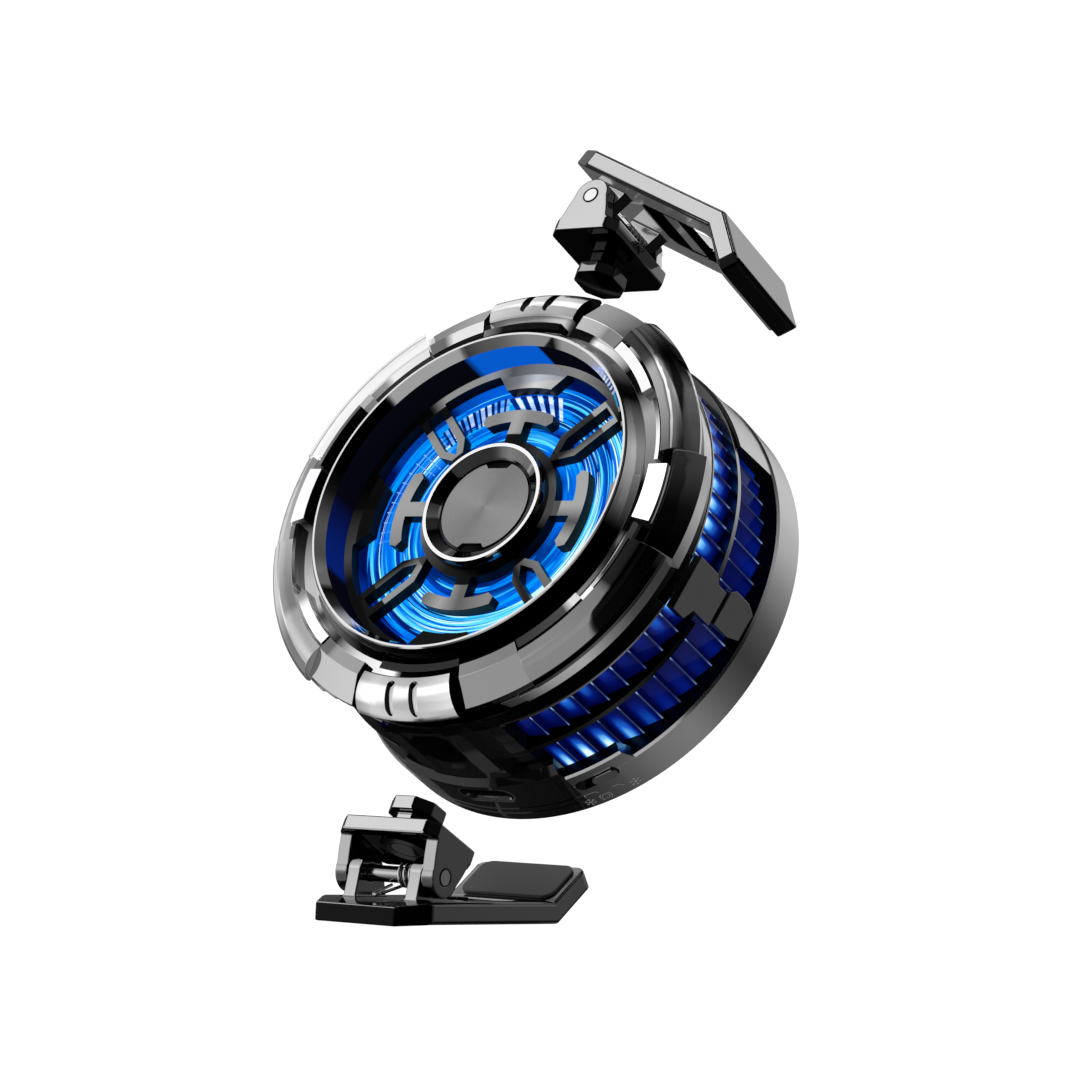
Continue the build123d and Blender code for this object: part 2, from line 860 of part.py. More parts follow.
# Bezel: chrome lip and wall, and the black skirt outside it
with BuildPart() as bezel:
    turned(
        [
            (bezel_bore, duct_top),
            (bezel_bore, lip - 1.4),
            (bezel_bore + 0.9, lip),
            (bezel_outer - 0.15, lip),
            (bezel_outer, lip - 0.15),
            (bezel_outer, bezel_seat),
            (bore, bezel_seat),
            (bore, duct_top),
        ]
    )
save(bezel, "bezel")

with BuildPart() as bezel_skirt:
    turned(
        [
            (bezel_outer, bezel_seat),
            (bezel_outer, lip - 0.4),
            (bezel_outer + 0.4, lip - 0.8),
            (bezel_outer + skirt_reach, deck + 0.1),
            (bezel_outer + skirt_reach, bezel_seat),
        ]
    )
save(bezel_skirt, "bezel_skirt")

# Fan duct: the lit inner wall, with a ledge under the grille
with BuildPart() as fan_duct:
    turned(
        [
            (duct_bore - duct_ledge, bracket_top),
            (bore, bracket_top),
            (bore, duct_top),
            (duct_bore, duct_top),
            (duct_bore, grille_low),
            (duct_bore - duct_ledge, grille_low),
        ]
    )
save(fan_duct, "fan_duct")

# Grille: ring, four tabs, four loops, four spokes and the hub floor, in one piece
with BuildPart() as front_grille:
    with BuildSketch(Plane.XY.offset(grille_low)) as grille_plan:
        Circle(duct_bore - 0.05)
        Circle(duct_bore - grille_ring_width, mode=Mode.SUBTRACT)
        Circle(collar_radius)
        for angle in (0, 90, 180, 270):
            with BuildLine():
                Polyline(
                    polar(tab_inner_radius, angle + tab_half_angle),
                    polar(duct_bore - 0.9, angle + tab_foot_angle),
                    polar(duct_bore - 0.5, angle),
                    polar(duct_bore - 0.9, angle - tab_foot_angle),
                    polar(tab_inner_radius, angle - tab_half_angle),
                )
                ThreePointArc(
                    polar(tab_inner_radius, angle - tab_half_angle),
                    polar(tab_inner_radius, angle),
                    polar(tab_inner_radius, angle + tab_half_angle),
                )
            make_face()
            with BuildLine():
                Polyline(
                    polar(bar_outer_radius, angle - bar_half_angle + bar_tip_angle),
                    polar((bar_inner_radius + bar_outer_radius) / 2, angle - bar_half_angle),
                    polar(bar_inner_radius, angle - bar_half_angle + bar_tip_angle),
                )
                ThreePointArc(
                    polar(bar_inner_radius, angle - bar_half_angle + bar_tip_angle),
                    polar(bar_inner_radius, angle),
                    polar(bar_inner_radius, angle + bar_half_angle - bar_tip_angle),
                )
                Polyline(
                    polar(bar_inner_radius, angle + bar_half_angle - bar_tip_angle),
                    polar((bar_inner_radius + bar_outer_radius) / 2, angle + bar_half_angle),
                    polar(bar_outer_radius, angle + bar_half_angle - bar_tip_angle),
                )
                ThreePointArc(
                    polar(bar_outer_radius, angle + bar_half_angle - bar_tip_angle),
                    polar(bar_outer_radius, angle),
                    polar(bar_outer_radius, angle - bar_half_angle + bar_tip_angle),
                )
            make_face()
        with PolarLocations((collar_radius + bar_inner_radius) / 2, 4):
            Rectangle(bar_inner_radius - collar_radius + 0.8, spoke_width)
        loop_end = duct_bore - grille_ring_width / 2
        tip = collar_radius - 0.4
        with PolarLocations(0, 4, start_angle=45):
            Polygon(
                (tip, 0),
                (loop_shoulder_radius, -loop_width / 2),
                (loop_end, -loop_width / 2),
                (loop_end, loop_width / 2),
                (loop_shoulder_radius, loop_width / 2),
                align=None,
            )
            Polygon(
                (tip + 1.9, 0),
                (loop_shoulder_radius + 0.35, -loop_width / 2 + loop_bar),
                (loop_end - 1.4, -loop_width / 2 + loop_bar),
                (loop_end - 1.4, loop_width / 2 - loop_bar),
                (loop_shoulder_radius + 0.35, loop_width / 2 - loop_bar),
                align=None,
                mode=Mode.SUBTRACT,
            )
    extrude(grille_plan.sketch, amount=grille_thickness)
save(front_grille, "front_grille")

# Hub: chrome ring, black bevel and badge disc
hub_ring_inner = hub_ring_radius - hub_ring_width
with BuildPart() as hub_ring:
    turned(
        [
            (hub_ring_inner, grille_top),
            (hub_ring_radius + 0.2, grille_top),
            (hub_ring_radius + 0.2, grille_top + 0.9),
            (hub_ring_radius, grille_top + hub_ring_height - 0.15),
            (hub_ring_radius - 0.15, grille_top + hub_ring_height),
            (hub_ring_inner, grille_top + hub_ring_height),
        ]
    )
save(hub_ring, "hub_ring")

with BuildPart() as hub_bevel:
    turned(
        [
            (badge_radius + badge_gap, grille_top),
            (hub_ring_inner, grille_top),
            (hub_ring_inner, grille_top + hub_ring_height - 0.15),
            (badge_radius + badge_gap + 0.2, grille_top + 0.95),
            (badge_radius + badge_gap, grille_top + 0.75),
        ]
    )
save(hub_bevel, "hub_bevel")

with BuildPart() as hub_badge:
    with BuildSketch(Plane.XY.offset(grille_top)):
        Circle(badge_radius)
        for angle in (90, 270):
            with BuildLine():
                Polyline(
                    polar(badge_radius - notch_depth, angle - 15),
                    polar(badge_radius + 0.5, angle - 20),
                    polar(badge_radius + 0.5, angle + 20),
                    polar(badge_radius - notch_depth, angle + 15),
                    close=True,
                )
            make_face(mode=Mode.SUBTRACT)
    extrude(amount=badge_thickness)
save(hub_badge, "hub_badge")

# Fan: bracket with the bush tube, bush, stator, shaft, rotor and its magnet
tube_radius = bush_radius + bush_wall
rotor_top = grille_low - rotor_gap
rotor_low = rotor_top - rotor_height
tube_top = rotor_top - cap_thickness - 1.2
bracket_bore = duct_bore - duct_ledge
with BuildPart() as fan_bracket:
    with BuildSketch(Plane.XY.offset(sink_top)) as bracket_plan:
        Circle(sink_radius)
        Circle(bracket_bore, mode=Mode.SUBTRACT)
        Circle(rotor_hub_radius - 0.5)
        with PolarLocations((duct_bore + rotor_hub_radius) / 2, 3, start_angle=30):
            Rectangle(duct_bore - rotor_hub_radius + 1.6, 3)
        Circle(bush_radius, mode=Mode.SUBTRACT)
    extrude(bracket_plan.sketch, amount=bracket_thickness)
    turned(box_section(bush_radius, tube_radius, bracket_top - 0.2, tube_top))
save(fan_bracket, "fan_bracket")

with BuildPart() as fan_bearing:
    turned(box_section(shaft_radius + running_gap, bush_radius, sink_top, tube_top))
save(fan_bearing, "fan_bearing")

stator_radius = rotor_hub_radius - rotor_skirt - rotor_magnet_thickness - stator_gap
with BuildPart() as fan_stator:
    with BuildSketch(Plane.XY.offset(bracket_top + 1.2)) as stator_plan:
        Circle(tube_radius + 1.2)
        with PolarLocations((tube_radius + stator_radius) / 2, 6):
            Rectangle(stator_radius - tube_radius - 0.4, 1.2)
        with PolarLocations(stator_radius - 0.6, 6):
            Rectangle(0.9, 4.2)
        Circle(tube_radius, mode=Mode.SUBTRACT)
    extrude(stator_plan.sketch, amount=stator_height)
save(fan_stator, "fan_stator")

with BuildPart() as fan_shaft:
    with BuildSketch(Plane.XY.offset(sink_top + 0.3)):
        Circle(shaft_radius)
    extrude(amount=rotor_top - 0.3 - sink_top - 0.3)
save(fan_shaft, "fan_shaft")

with BuildPart() as fan_rotor:
    turned(
        [
            (shaft_radius, rotor_top - cap_thickness),
            (rotor_hub_radius - rotor_skirt, rotor_top - cap_thickness),
            (rotor_hub_radius - rotor_skirt, rotor_low),
            (rotor_hub_radius, rotor_low),
            (rotor_hub_radius, rotor_top - 0.4),
            (rotor_hub_radius - 0.4, rotor_top),
            (0, rotor_top),
            (0, rotor_top - 0.3),
            (shaft_radius, rotor_top - 0.3),
        ]
    )
    for n in range(blade_count):
        turn = 360 / blade_count * n
        with BuildSketch(Plane.XY.offset(rotor_low)) as blade:
            with BuildLine():
                half_way = (rotor_hub_radius + rotor_radius) / 2
                root = polar(rotor_hub_radius - 0.3, turn)
                middle = polar(half_way, turn + 9)
                end = polar(rotor_radius - 0.1, turn + blade_sweep)
                ThreePointArc(root, middle, end)
                root_back = polar(rotor_hub_radius - 0.3, turn + 3 + blade_thickness)
                middle_back = polar(half_way - 0.2, turn + 10.5 + blade_thickness)
                end_back = polar(rotor_radius - 0.2, turn + blade_sweep + blade_thickness)
                ThreePointArc(root_back, middle_back, end_back)
                Line(root, root_back)
                Line(end, end_back)
            make_face()
        extrude(blade.sketch, amount=rotor_height - blade_drop)
save(fan_rotor, "fan_rotor")

with BuildPart() as rotor_magnet:
    magnet_face = rotor_hub_radius - rotor_skirt
    magnet_back = magnet_face - rotor_magnet_thickness
    turned(box_section(magnet_back, magnet_face, rotor_low + 0.3, rotor_top - cap_thickness))
save(rotor_magnet, "rotor_magnet")


# Clips. A clip's plane has x along the hinge pin, y towards the arm's tip and z outwards.
def side_plane(clip, along):
    """A plane across the pin: its x is the clip's y and its y is the clip's z."""
    origin = clip.origin + clip.x_dir * along
    return Plane(origin=origin, x_dir=clip.y_dir, z_dir=clip.x_dir)


def eight_corner(width, length, corner):
    """A rectangle with its corners cut, in the current sketch."""
    w = width / 2
    h = length / 2
    Polygon(
        (w - corner, -h),
        (w, corner - h),
        (w, h - corner),
        (w - corner, h),
        (corner - w, h),
        (-w, h - corner),
        (-w, corner - h),
        (corner - w, -h),
        align=None,
    )


def along_arm(run, height):
    """A point beside the arm, from the foot of the pin: run towards the knee, height outwards."""
    a = radians(arm_angle)
    return (height * sin(a) + run * cos(a), pin_level + height * cos(a) - run * sin(a))


def along_bend(run, height):
    """A point beside the bent end, from the knee."""
    a = radians(bent_angle)
    y, z = along_arm(knee_length, arm_offset)
    return (y + height * sin(a) + run * cos(a), z + height * cos(a) - run * sin(a))


def arm_outline():
    """The arm's side view: thumb end, straight, knee and bent end."""
    half_bend = radians(bent_angle - arm_angle) / 2
    outer_knee = along_arm(knee_length + arm_thickness * tan(half_bend), arm_offset + arm_thickness)
    return [
        along_arm(-thumb_length, arm_offset + 0.7),
        along_arm(-thumb_length + thumb_taper, arm_offset),
        along_arm(knee_length, arm_offset),
        along_bend(bent_length, 0),
        along_bend(bent_length, arm_thickness - 0.5),
        along_bend(bent_length - 0.5, arm_thickness),
        outer_knee,
        along_arm(-thumb_length + thumb_taper, arm_offset + arm_thickness),
        along_arm(-thumb_length, arm_offset + arm_thickness + 0.3),
    ]


def arm_plane(clip):
    """The plane of the arm's straight inner face, with its origin at the pin's foot point."""
    a = radians(arm_angle)
    y, z = along_arm(0, arm_offset)
    origin = clip.origin + clip.y_dir * y + clip.z_dir * z
    normal = clip.y_dir * sin(a) + clip.z_dir * cos(a)
    return Plane(origin=origin, x_dir=clip.x_dir, z_dir=normal)


def bend_plane(clip):
    """The plane of the bent end's inner face, with its origin at the knee."""
    a = radians(bent_angle)
    y, z = along_bend(0, 0)
    origin = clip.origin + clip.y_dir * y + clip.z_dir * z
    normal = clip.y_dir * sin(a) + clip.z_dir * cos(a)
    return Plane(origin=origin, x_dir=clip.x_dir, z_dir=normal)


def biarc(start, start_way, end, end_way):
    """Two arcs that join two points smoothly: the point where they meet and its way."""
    gap = end - start
    ways = start_way + end_way
    a = ways.dot(ways) - 4
    b = -2 * gap.dot(ways)
    c = gap.dot(gap)
    reach = (-b - sqrt(b * b - 4 * a * c)) / (2 * a)
    if reach < 0:
        reach = (-b + sqrt(b * b - 4 * a * c)) / (2 * a)
    first = start + start_way * reach
    last = end - end_way * reach
    return (first + last) * 0.5, (last - first).normalized()


def coil_point(clip, along, turn):
    """A point on the coil's helix and its way, from the distance along the pin and the turn."""
    a = radians(turn)
    rise = coil_pitch / (2 * pi)
    centre = clip.origin + clip.x_dir * along + clip.z_dir * pin_level
    point = centre + clip.y_dir * (coil_radius * cos(a)) + clip.z_dir * (coil_radius * sin(a))
    way = clip.y_dir * (-coil_radius * sin(a)) + clip.z_dir * (coil_radius * cos(a)) + clip.x_dir * rise
    return point, way.normalized()


def spring_path(clip):
    """Half of the spring's line: a leg, a coil and the start of the bow that presses the arm."""
    total = coil_turns * 360 + bow_turn
    first_along = -bow_half_width - total / 360 * coil_pitch
    turns = [quarter * 90 for quarter in range(int(total // 90) + 1)]
    turns.append(total)
    nodes = [coil_point(clip, first_along + turn / 360 * coil_pitch, turn) for turn in turns]
    first, first_way = nodes[0]
    pieces = [(first - first_way * (pin_height - clip_plate_thickness - 0.3), first, first_way)]
    for (start, start_way), (end, end_way) in zip(nodes, nodes[1:]):
        meet, meet_way = biarc(start, start_way, end, end_way)
        pieces.append((start, meet, start_way))
        pieces.append((meet, end, meet_way))
    return pieces, nodes[-1], nodes[-1][0] + nodes[-1][1] * bow_length


def mirrored(clip, point):
    """The point on the other side of the clip's middle."""
    offset = point - clip.origin
    return point - clip.x_dir * (2 * offset.dot(clip.x_dir))


def draw_piece(start, end, way):
    """Draws an arc from its ends and its way at the start, or a line where the way is straight on."""
    if (end - start).cross(way).length < 1e-6:
        Line(start, end)
    else:
        TangentArc(start, end, tangent=way)


def spring_wire(clip):
    """Draws the whole spring line in the current line builder."""
    pieces, (inner, inner_way), corner = spring_path(clip)
    for piece in pieces:
        draw_piece(*piece)
    before = corner - inner_way * bow_radius
    Line(inner, before)
    other_before = mirrored(clip, before)
    across = (other_before - before).normalized()
    leave = before + (inner_way + across) * bow_radius
    TangentArc(before, leave, tangent=inner_way)
    return_start = mirrored(clip, leave)
    Line(leave, return_start)
    TangentArc(return_start, other_before, tangent=across)
    Line(other_before, mirrored(clip, inner))
    for start, end, way in reversed(pieces):
        draw_piece(mirrored(clip, start), mirrored(clip, end), mirrored_way(clip, way))


def mirrored_way(clip, way):
    """The way on the other side of the clip's middle."""
    return way - clip.x_dir * (2 * way.dot(clip.x_dir))


def least_gap(edges):
    """The least gap of the wire to itself, measured on points more than half a turn apart."""
    points = []
    for edge in edges:
        count = int(edge.length / wire_radius) + 1
        points.extend(edge.position_at(n / count) for n in range(count))
    apart = int(pi * coil_radius / wire_radius)
    pairs = ((p, q) for n, p in enumerate(points) for q in points[n + apart:])
    return min((p - q).length for p, q in pairs) - 2 * wire_radius


def make_clip(clip, place):
    """Builds and writes the seven pieces of one clip."""
    with BuildPart() as plug:
        with BuildSketch(clip) as head:
            eight_corner(head_width, head_length, head_corner)
        extrude(head.sketch, amount=head_height)
        with BuildSketch(clip.offset(head_height)) as neck:
            eight_corner(head_width - 2 * neck_step, head_length - 2 * neck_step, head_corner - 0.6)
        extrude(neck.sketch, amount=neck_height)
        with BuildSketch(clip.offset(clip_base_low)) as swivel:
            Circle(swivel_radius)
        extrude(swivel.sketch, amount=clip_plate_thickness - recess_depth + 0.1 + washer_thickness)
    save(plug, f"{place}_plug")

    washer_low = clip_base_low + clip_plate_thickness - recess_depth + 0.1
    with BuildPart() as plug_washer:
        with BuildSketch(clip.offset(washer_low)):
            Circle(washer_radius)
            Circle(swivel_radius, mode=Mode.SUBTRACT)
        extrude(amount=washer_thickness)
    save(plug_washer, f"{place}_plug_washer")

    with BuildPart() as clip_base:
        with BuildSketch(clip.offset(clip_base_low + 0.05)) as clip_plate:
            eight_corner(clip_plate_width, clip_plate_length, clip_plate_corner)
        extrude(clip_plate.sketch, amount=clip_plate_thickness - 0.05)
        with BuildSketch(clip.offset(clip_base_low + clip_plate_thickness - recess_depth)) as recess:
            Rectangle(clip_plate_width - 2 * ear_thickness, clip_plate_length - 1.8)
        extrude(recess.sketch, amount=recess_depth, mode=Mode.SUBTRACT)
        with BuildSketch(clip.offset(clip_base_low)) as swivel_hole:
            Circle(swivel_radius + swivel_gap)
        extrude(swivel_hole.sketch, amount=clip_plate_thickness, mode=Mode.SUBTRACT)
        plate_top = clip_base_low + clip_plate_thickness
        for along in (-clip_plate_width / 2, clip_plate_width / 2 - ear_thickness):
            with BuildSketch(side_plane(clip, along)) as ear:
                with BuildLine():
                    Polyline(
                        (-ear_round, pin_level),
                        (-ear_width / 2, pin_level - 1.6),
                        (-ear_width / 2 - 0.6, plate_top - 0.3),
                        (ear_width / 2 + 0.6, plate_top - 0.3),
                        (ear_width / 2, pin_level - 1.6),
                        (ear_round, pin_level),
                    )
                    ear_top = (0, pin_level + ear_round)
                    ThreePointArc((ear_round, pin_level), ear_top, (-ear_round, pin_level))
                make_face()
                with Locations((0, pin_level)):
                    Circle(pin_radius, mode=Mode.SUBTRACT)
            extrude(ear.sketch, amount=ear_thickness)
    save(clip_base, f"{place}_clip_base")

    with BuildPart() as hinge_pin:
        with BuildSketch(side_plane(clip, -clip_plate_width / 2)) as pin_end:
            with Locations((0, pin_level)):
                Circle(pin_radius)
        extrude(pin_end.sketch, amount=clip_plate_width)
    save(hinge_pin, f"{place}_hinge_pin")

    with BuildPart() as arm:
        with BuildSketch(side_plane(clip, -arm_width / 2)) as arm_side:
            with BuildLine():
                Polyline(*arm_outline(), close=True)
            make_face()
        extrude(arm_side.sketch, amount=arm_width)
        ends = arm.faces().filter_by(lambda f: abs(f.normal_at().dot(clip.x_dir)) > 0.99)
        chamfer(ends.edges(), length=arm_bevel)
        flat = arm_plane(clip)
        taper = (arm_width - thumb_width) / 2
        with BuildSketch(flat.offset(-2)) as thumb_cuts:
            for side in (-1, 1):
                with BuildLine():
                    Polyline(
                        (side * arm_width / 2, -thumb_length + thumb_taper),
                        (side * (arm_width / 2 - taper), -thumb_length),
                        (side * (arm_width / 2 - taper), -thumb_length - 2),
                        (side * (arm_width / 2 + 1), -thumb_length - 2),
                        (side * (arm_width / 2 + 1), -thumb_length + thumb_taper),
                        close=True,
                    )
                make_face()
        extrude(thumb_cuts.sketch, amount=arm_thickness + 4, mode=Mode.SUBTRACT)
        with BuildSketch(bend_plane(clip).offset(-1)) as tip_cuts:
            with Locations((0, bent_length)):
                Rectangle(arm_width + 1, 2 * tip_corner)
            with Locations((0, bent_length - 2 * tip_corner)):
                RectangleRounded(arm_width, 4 * tip_corner, tip_corner, mode=Mode.SUBTRACT)
        extrude(tip_cuts.sketch, amount=arm_thickness + 2, mode=Mode.SUBTRACT)
        with BuildSketch(flat.offset(-1)) as window:
            with Locations((0, window_start + window_length / 2)):
                Rectangle(window_width, window_length)
            chamfer(window.vertices(), length=window_corner)
        extrude(window.sketch, amount=arm_thickness + 3, mode=Mode.SUBTRACT)
        cross_half = window_width / 2 + 0.1
        cross_top = arm_offset + cross_low + cross_thickness
        with BuildSketch(side_plane(clip, -cross_half)) as cross_piece:
            with BuildLine():
                Polyline(
                    along_arm(cross_start, arm_offset + cross_low),
                    along_arm(cross_start + cross_width, arm_offset + cross_low),
                    along_arm(cross_start + cross_width, cross_top),
                    along_arm(cross_start, cross_top),
                    close=True,
                )
            make_face()
        extrude(cross_piece.sketch, amount=2 * cross_half)
        lug_outer = clip_plate_width / 2 - ear_thickness - 0.05
        for along in (-lug_outer, lug_outer - arm_lug_thickness):
            with BuildSketch(side_plane(clip, along)) as arm_lug:
                with Locations((0, pin_level)):
                    Circle(ear_round - 0.15)
                with BuildLine():
                    Polyline(
                        along_arm(-ear_round + 0.15, 0),
                        along_arm(ear_round - 0.15, 0),
                        along_arm(ear_round + 0.6, arm_offset + 0.2),
                        along_arm(-ear_round - 0.6, arm_offset + 0.2),
                        close=True,
                    )
                make_face()
                with Locations((0, pin_level)):
                    Circle(pin_radius + pin_gap, mode=Mode.SUBTRACT)
            extrude(arm_lug.sketch, amount=arm_lug_thickness)
    save(arm, f"{place}_arm")

    with BuildPart() as clip_pad:
        with BuildSketch(bend_plane(clip)) as pad_face:
            with Locations((0, clip_pad_start + clip_pad_length / 2)):
                RectangleRounded(arm_width - 2 * clip_pad_margin, clip_pad_length, clip_pad_corner)
        extrude(pad_face.sketch, amount=-clip_pad_thickness)
    save(clip_pad, f"{place}_clip_pad")

    with BuildPart() as spring:
        with BuildLine() as wire:
            spring_wire(clip)
        start_point, _, start_way = spring_path(clip)[0][0]
        with BuildSketch(Plane(origin=start_point, x_dir=clip.x_dir, z_dir=start_way)) as wire_end:
            Circle(wire_radius)
        sweep(wire_end.sketch, path=wire.line)
    save(spring, f"{place}_spring")
    print(place, "spring: least gap between its turns", round(least_gap(Wire(wire.edges()).edges()), 3))


bottom_clip = Plane(origin=(0, -bottom_clip_out, socket_height), x_dir=(-1, 0, 0), z_dir=(0, -1, 0))
top_clip = Plane(origin=(0, top_clip_out, socket_height), x_dir=(0, 0, 1), z_dir=(0, 1, 0))
make_clip(bottom_clip, "bottom")
make_clip(top_clip, "top")
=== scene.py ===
import json
import random
from functools import cached_property
from math import cos, pi, radians, sin

import bmesh
import bpy
from mathutils import Matrix, Vector


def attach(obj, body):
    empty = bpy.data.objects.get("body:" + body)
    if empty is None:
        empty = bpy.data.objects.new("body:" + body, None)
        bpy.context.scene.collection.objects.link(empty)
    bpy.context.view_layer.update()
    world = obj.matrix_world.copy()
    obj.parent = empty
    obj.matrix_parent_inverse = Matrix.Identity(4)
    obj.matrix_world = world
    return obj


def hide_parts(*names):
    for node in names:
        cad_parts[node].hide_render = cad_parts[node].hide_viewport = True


# Looks of a clip-on cooling fan for a phone. Metres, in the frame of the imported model.
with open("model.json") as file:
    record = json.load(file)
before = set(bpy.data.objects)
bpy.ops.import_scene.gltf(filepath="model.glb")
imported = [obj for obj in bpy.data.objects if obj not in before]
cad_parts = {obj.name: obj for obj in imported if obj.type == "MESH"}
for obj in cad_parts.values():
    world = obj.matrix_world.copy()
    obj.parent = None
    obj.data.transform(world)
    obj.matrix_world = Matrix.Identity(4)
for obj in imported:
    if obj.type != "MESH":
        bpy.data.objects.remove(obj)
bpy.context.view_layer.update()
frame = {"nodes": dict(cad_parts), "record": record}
MM = 0.001

# Camera: the photograph's view, rolled to the left
camera_azimuth = -34.69
camera_elevation = 44.47
camera_roll = 45.34
camera_distance = 0.46
camera_target = Vector((0.00398, -0.00048, 0.0181))
camera_lens = 117.4
floor_drop = 0.35

# Sizes that pieces here share with the model
base_radius = 32.5 * MM
louvre_count = 62
lower_louvre_heights = 6.1 * MM, 14.3 * MM
upper_louvre_heights = 15.1 * MM, 20.1 * MM
pin_radius = 1.05 * MM
pin_half_length = 7.8 * MM
bottom_pin = Vector((0, -49.45, 18.9)) * MM
top_pin = Vector((0, 48.5, 18.9)) * MM
grille_flange_radius = 11.4 * MM
grille_tab_radius = 18.3 * MM
grille_ring_radius = 20.6 * MM
bezel_wall_radius = 23.525 * MM
lug_slot_circle = 29.75 * MM
lug_slot_angle = 3.65
arm_lug_height = 17.5 * MM
arm_end_y = -55.1 * MM

# Light of the fan, in millimetres: flat rings and arcs just above the blades
blade_radii = 9.3, 20.0
haze_height = 23.26
hub_shade_radii = 11.2, 13.4
far_rim_radius = 18.25
streak_gap = 0.06
fin_height = 23.55

# The knee on the lower arm's long side, where its painted shade ends. There y and z alone tell how far right
# the camera sees a point
arm_knee_right = -26.8 * MM
right_per_y, right_per_z = 0.2943, -0.5076


def rgb(colour):
    """Red, green, blue and alpha from a grey or a colour. A socket stays as it is."""
    if isinstance(colour, bpy.types.NodeSocket):
        return colour
    if isinstance(colour, (int, float)):
        return (colour, colour, colour, 1.0)
    return (*colour, 1.0)


def tones(*stops):
    """Base greys from (angle, shown brightness) pairs."""
    return [(angle, shown**2.2) for angle, shown in stops]


def even(grey):
    """Stops for one grey all round."""
    return [(-180, grey), (180, grey)]


class Tree:
    """Short calls for building one node tree."""

    def __init__(self, tree):
        self.tree = tree
        tree.nodes.clear()

    def node(self, kind, **settings):
        made = self.tree.nodes.new(f"ShaderNode{kind}")
        for name, value in settings.items():
            setattr(made, name, value)
        return made

    def feed(self, socket, value):
        """Links a socket, or sets its value."""
        if isinstance(value, bpy.types.NodeSocket):
            self.tree.links.new(value, socket)
        elif value is not None:
            socket.default_value = value

    def math(self, operation, a, b=None, c=None):
        made = self.node("Math", operation=operation)
        for socket, value in zip(made.inputs, (a, b, c)):
            self.feed(socket, value)
        return made.outputs[0]

    def times(self, first, *others):
        """The product of some numbers."""
        for other in others:
            first = self.math("MULTIPLY", first, other)
        return first

    def scaled(self, value, factor, offset):
        return self.math("MULTIPLY_ADD", value, factor, offset)

    def size(self, value):
        """A number without its sign."""
        return self.math("ABSOLUTE", value)

    def fade(self, value, start, end, low=0.0, high=1.0):
        """Goes smoothly from low to high as value goes from start to end."""
        made = self.node("MapRange", interpolation_type="SMOOTHSTEP")
        for socket, number in zip(made.inputs, (value, start, end, low, high)):
            self.feed(socket, number)
        return made.outputs[0]

    def step(self, value, place, soft):
        """Goes from 0 to 1 where value passes a place. A negative softness turns it round."""
        return self.fade(value, place - soft, place + soft)

    def mix(self, share, a, b, blend_type="MIX"):
        """Mixes two colours or greys. The Mix node's sockets 6 and 7 are its colours."""
        made = self.node("Mix", data_type="RGBA", blend_type=blend_type)
        self.feed(made.inputs["Factor"], share)
        self.feed(made.inputs[6], rgb(a))
        self.feed(made.inputs[7], rgb(b))
        return made.outputs[2]

    def ramp(self, value, stops):
        """A colour ramp from (place, colour or grey) stops."""
        made = self.node("ValToRGB")
        points = made.color_ramp.elements
        while len(points) < len(stops):
            points.new(0.5)
        for point, (place, colour) in zip(points, stops):
            point.position = place
            point.color = rgb(colour)
        self.feed(made.inputs[0], value)
        return made.outputs[0]

    def turn_ramp(self, share, stops):
        """A ramp over a full turn, from (angle in degrees, colour or grey) stops."""
        return self.ramp(share, [((angle + 180) / 360, colour) for angle, colour in stops])

    def noise(self, vector, scale, detail):
        made = self.node("TexNoise")
        self.feed(made.inputs["Vector"], vector)
        made.inputs["Scale"].default_value = scale
        made.inputs["Detail"].default_value = detail
        return made.outputs["Fac"]

    def split(self, vector):
        made = self.node("SeparateXYZ")
        self.feed(made.inputs[0], vector)
        return tuple(made.outputs)

    def join(self, x, y, z):
        made = self.node("CombineXYZ")
        for socket, value in zip(made.inputs, (x, y, z)):
            self.feed(socket, value)
        return made.outputs[0]


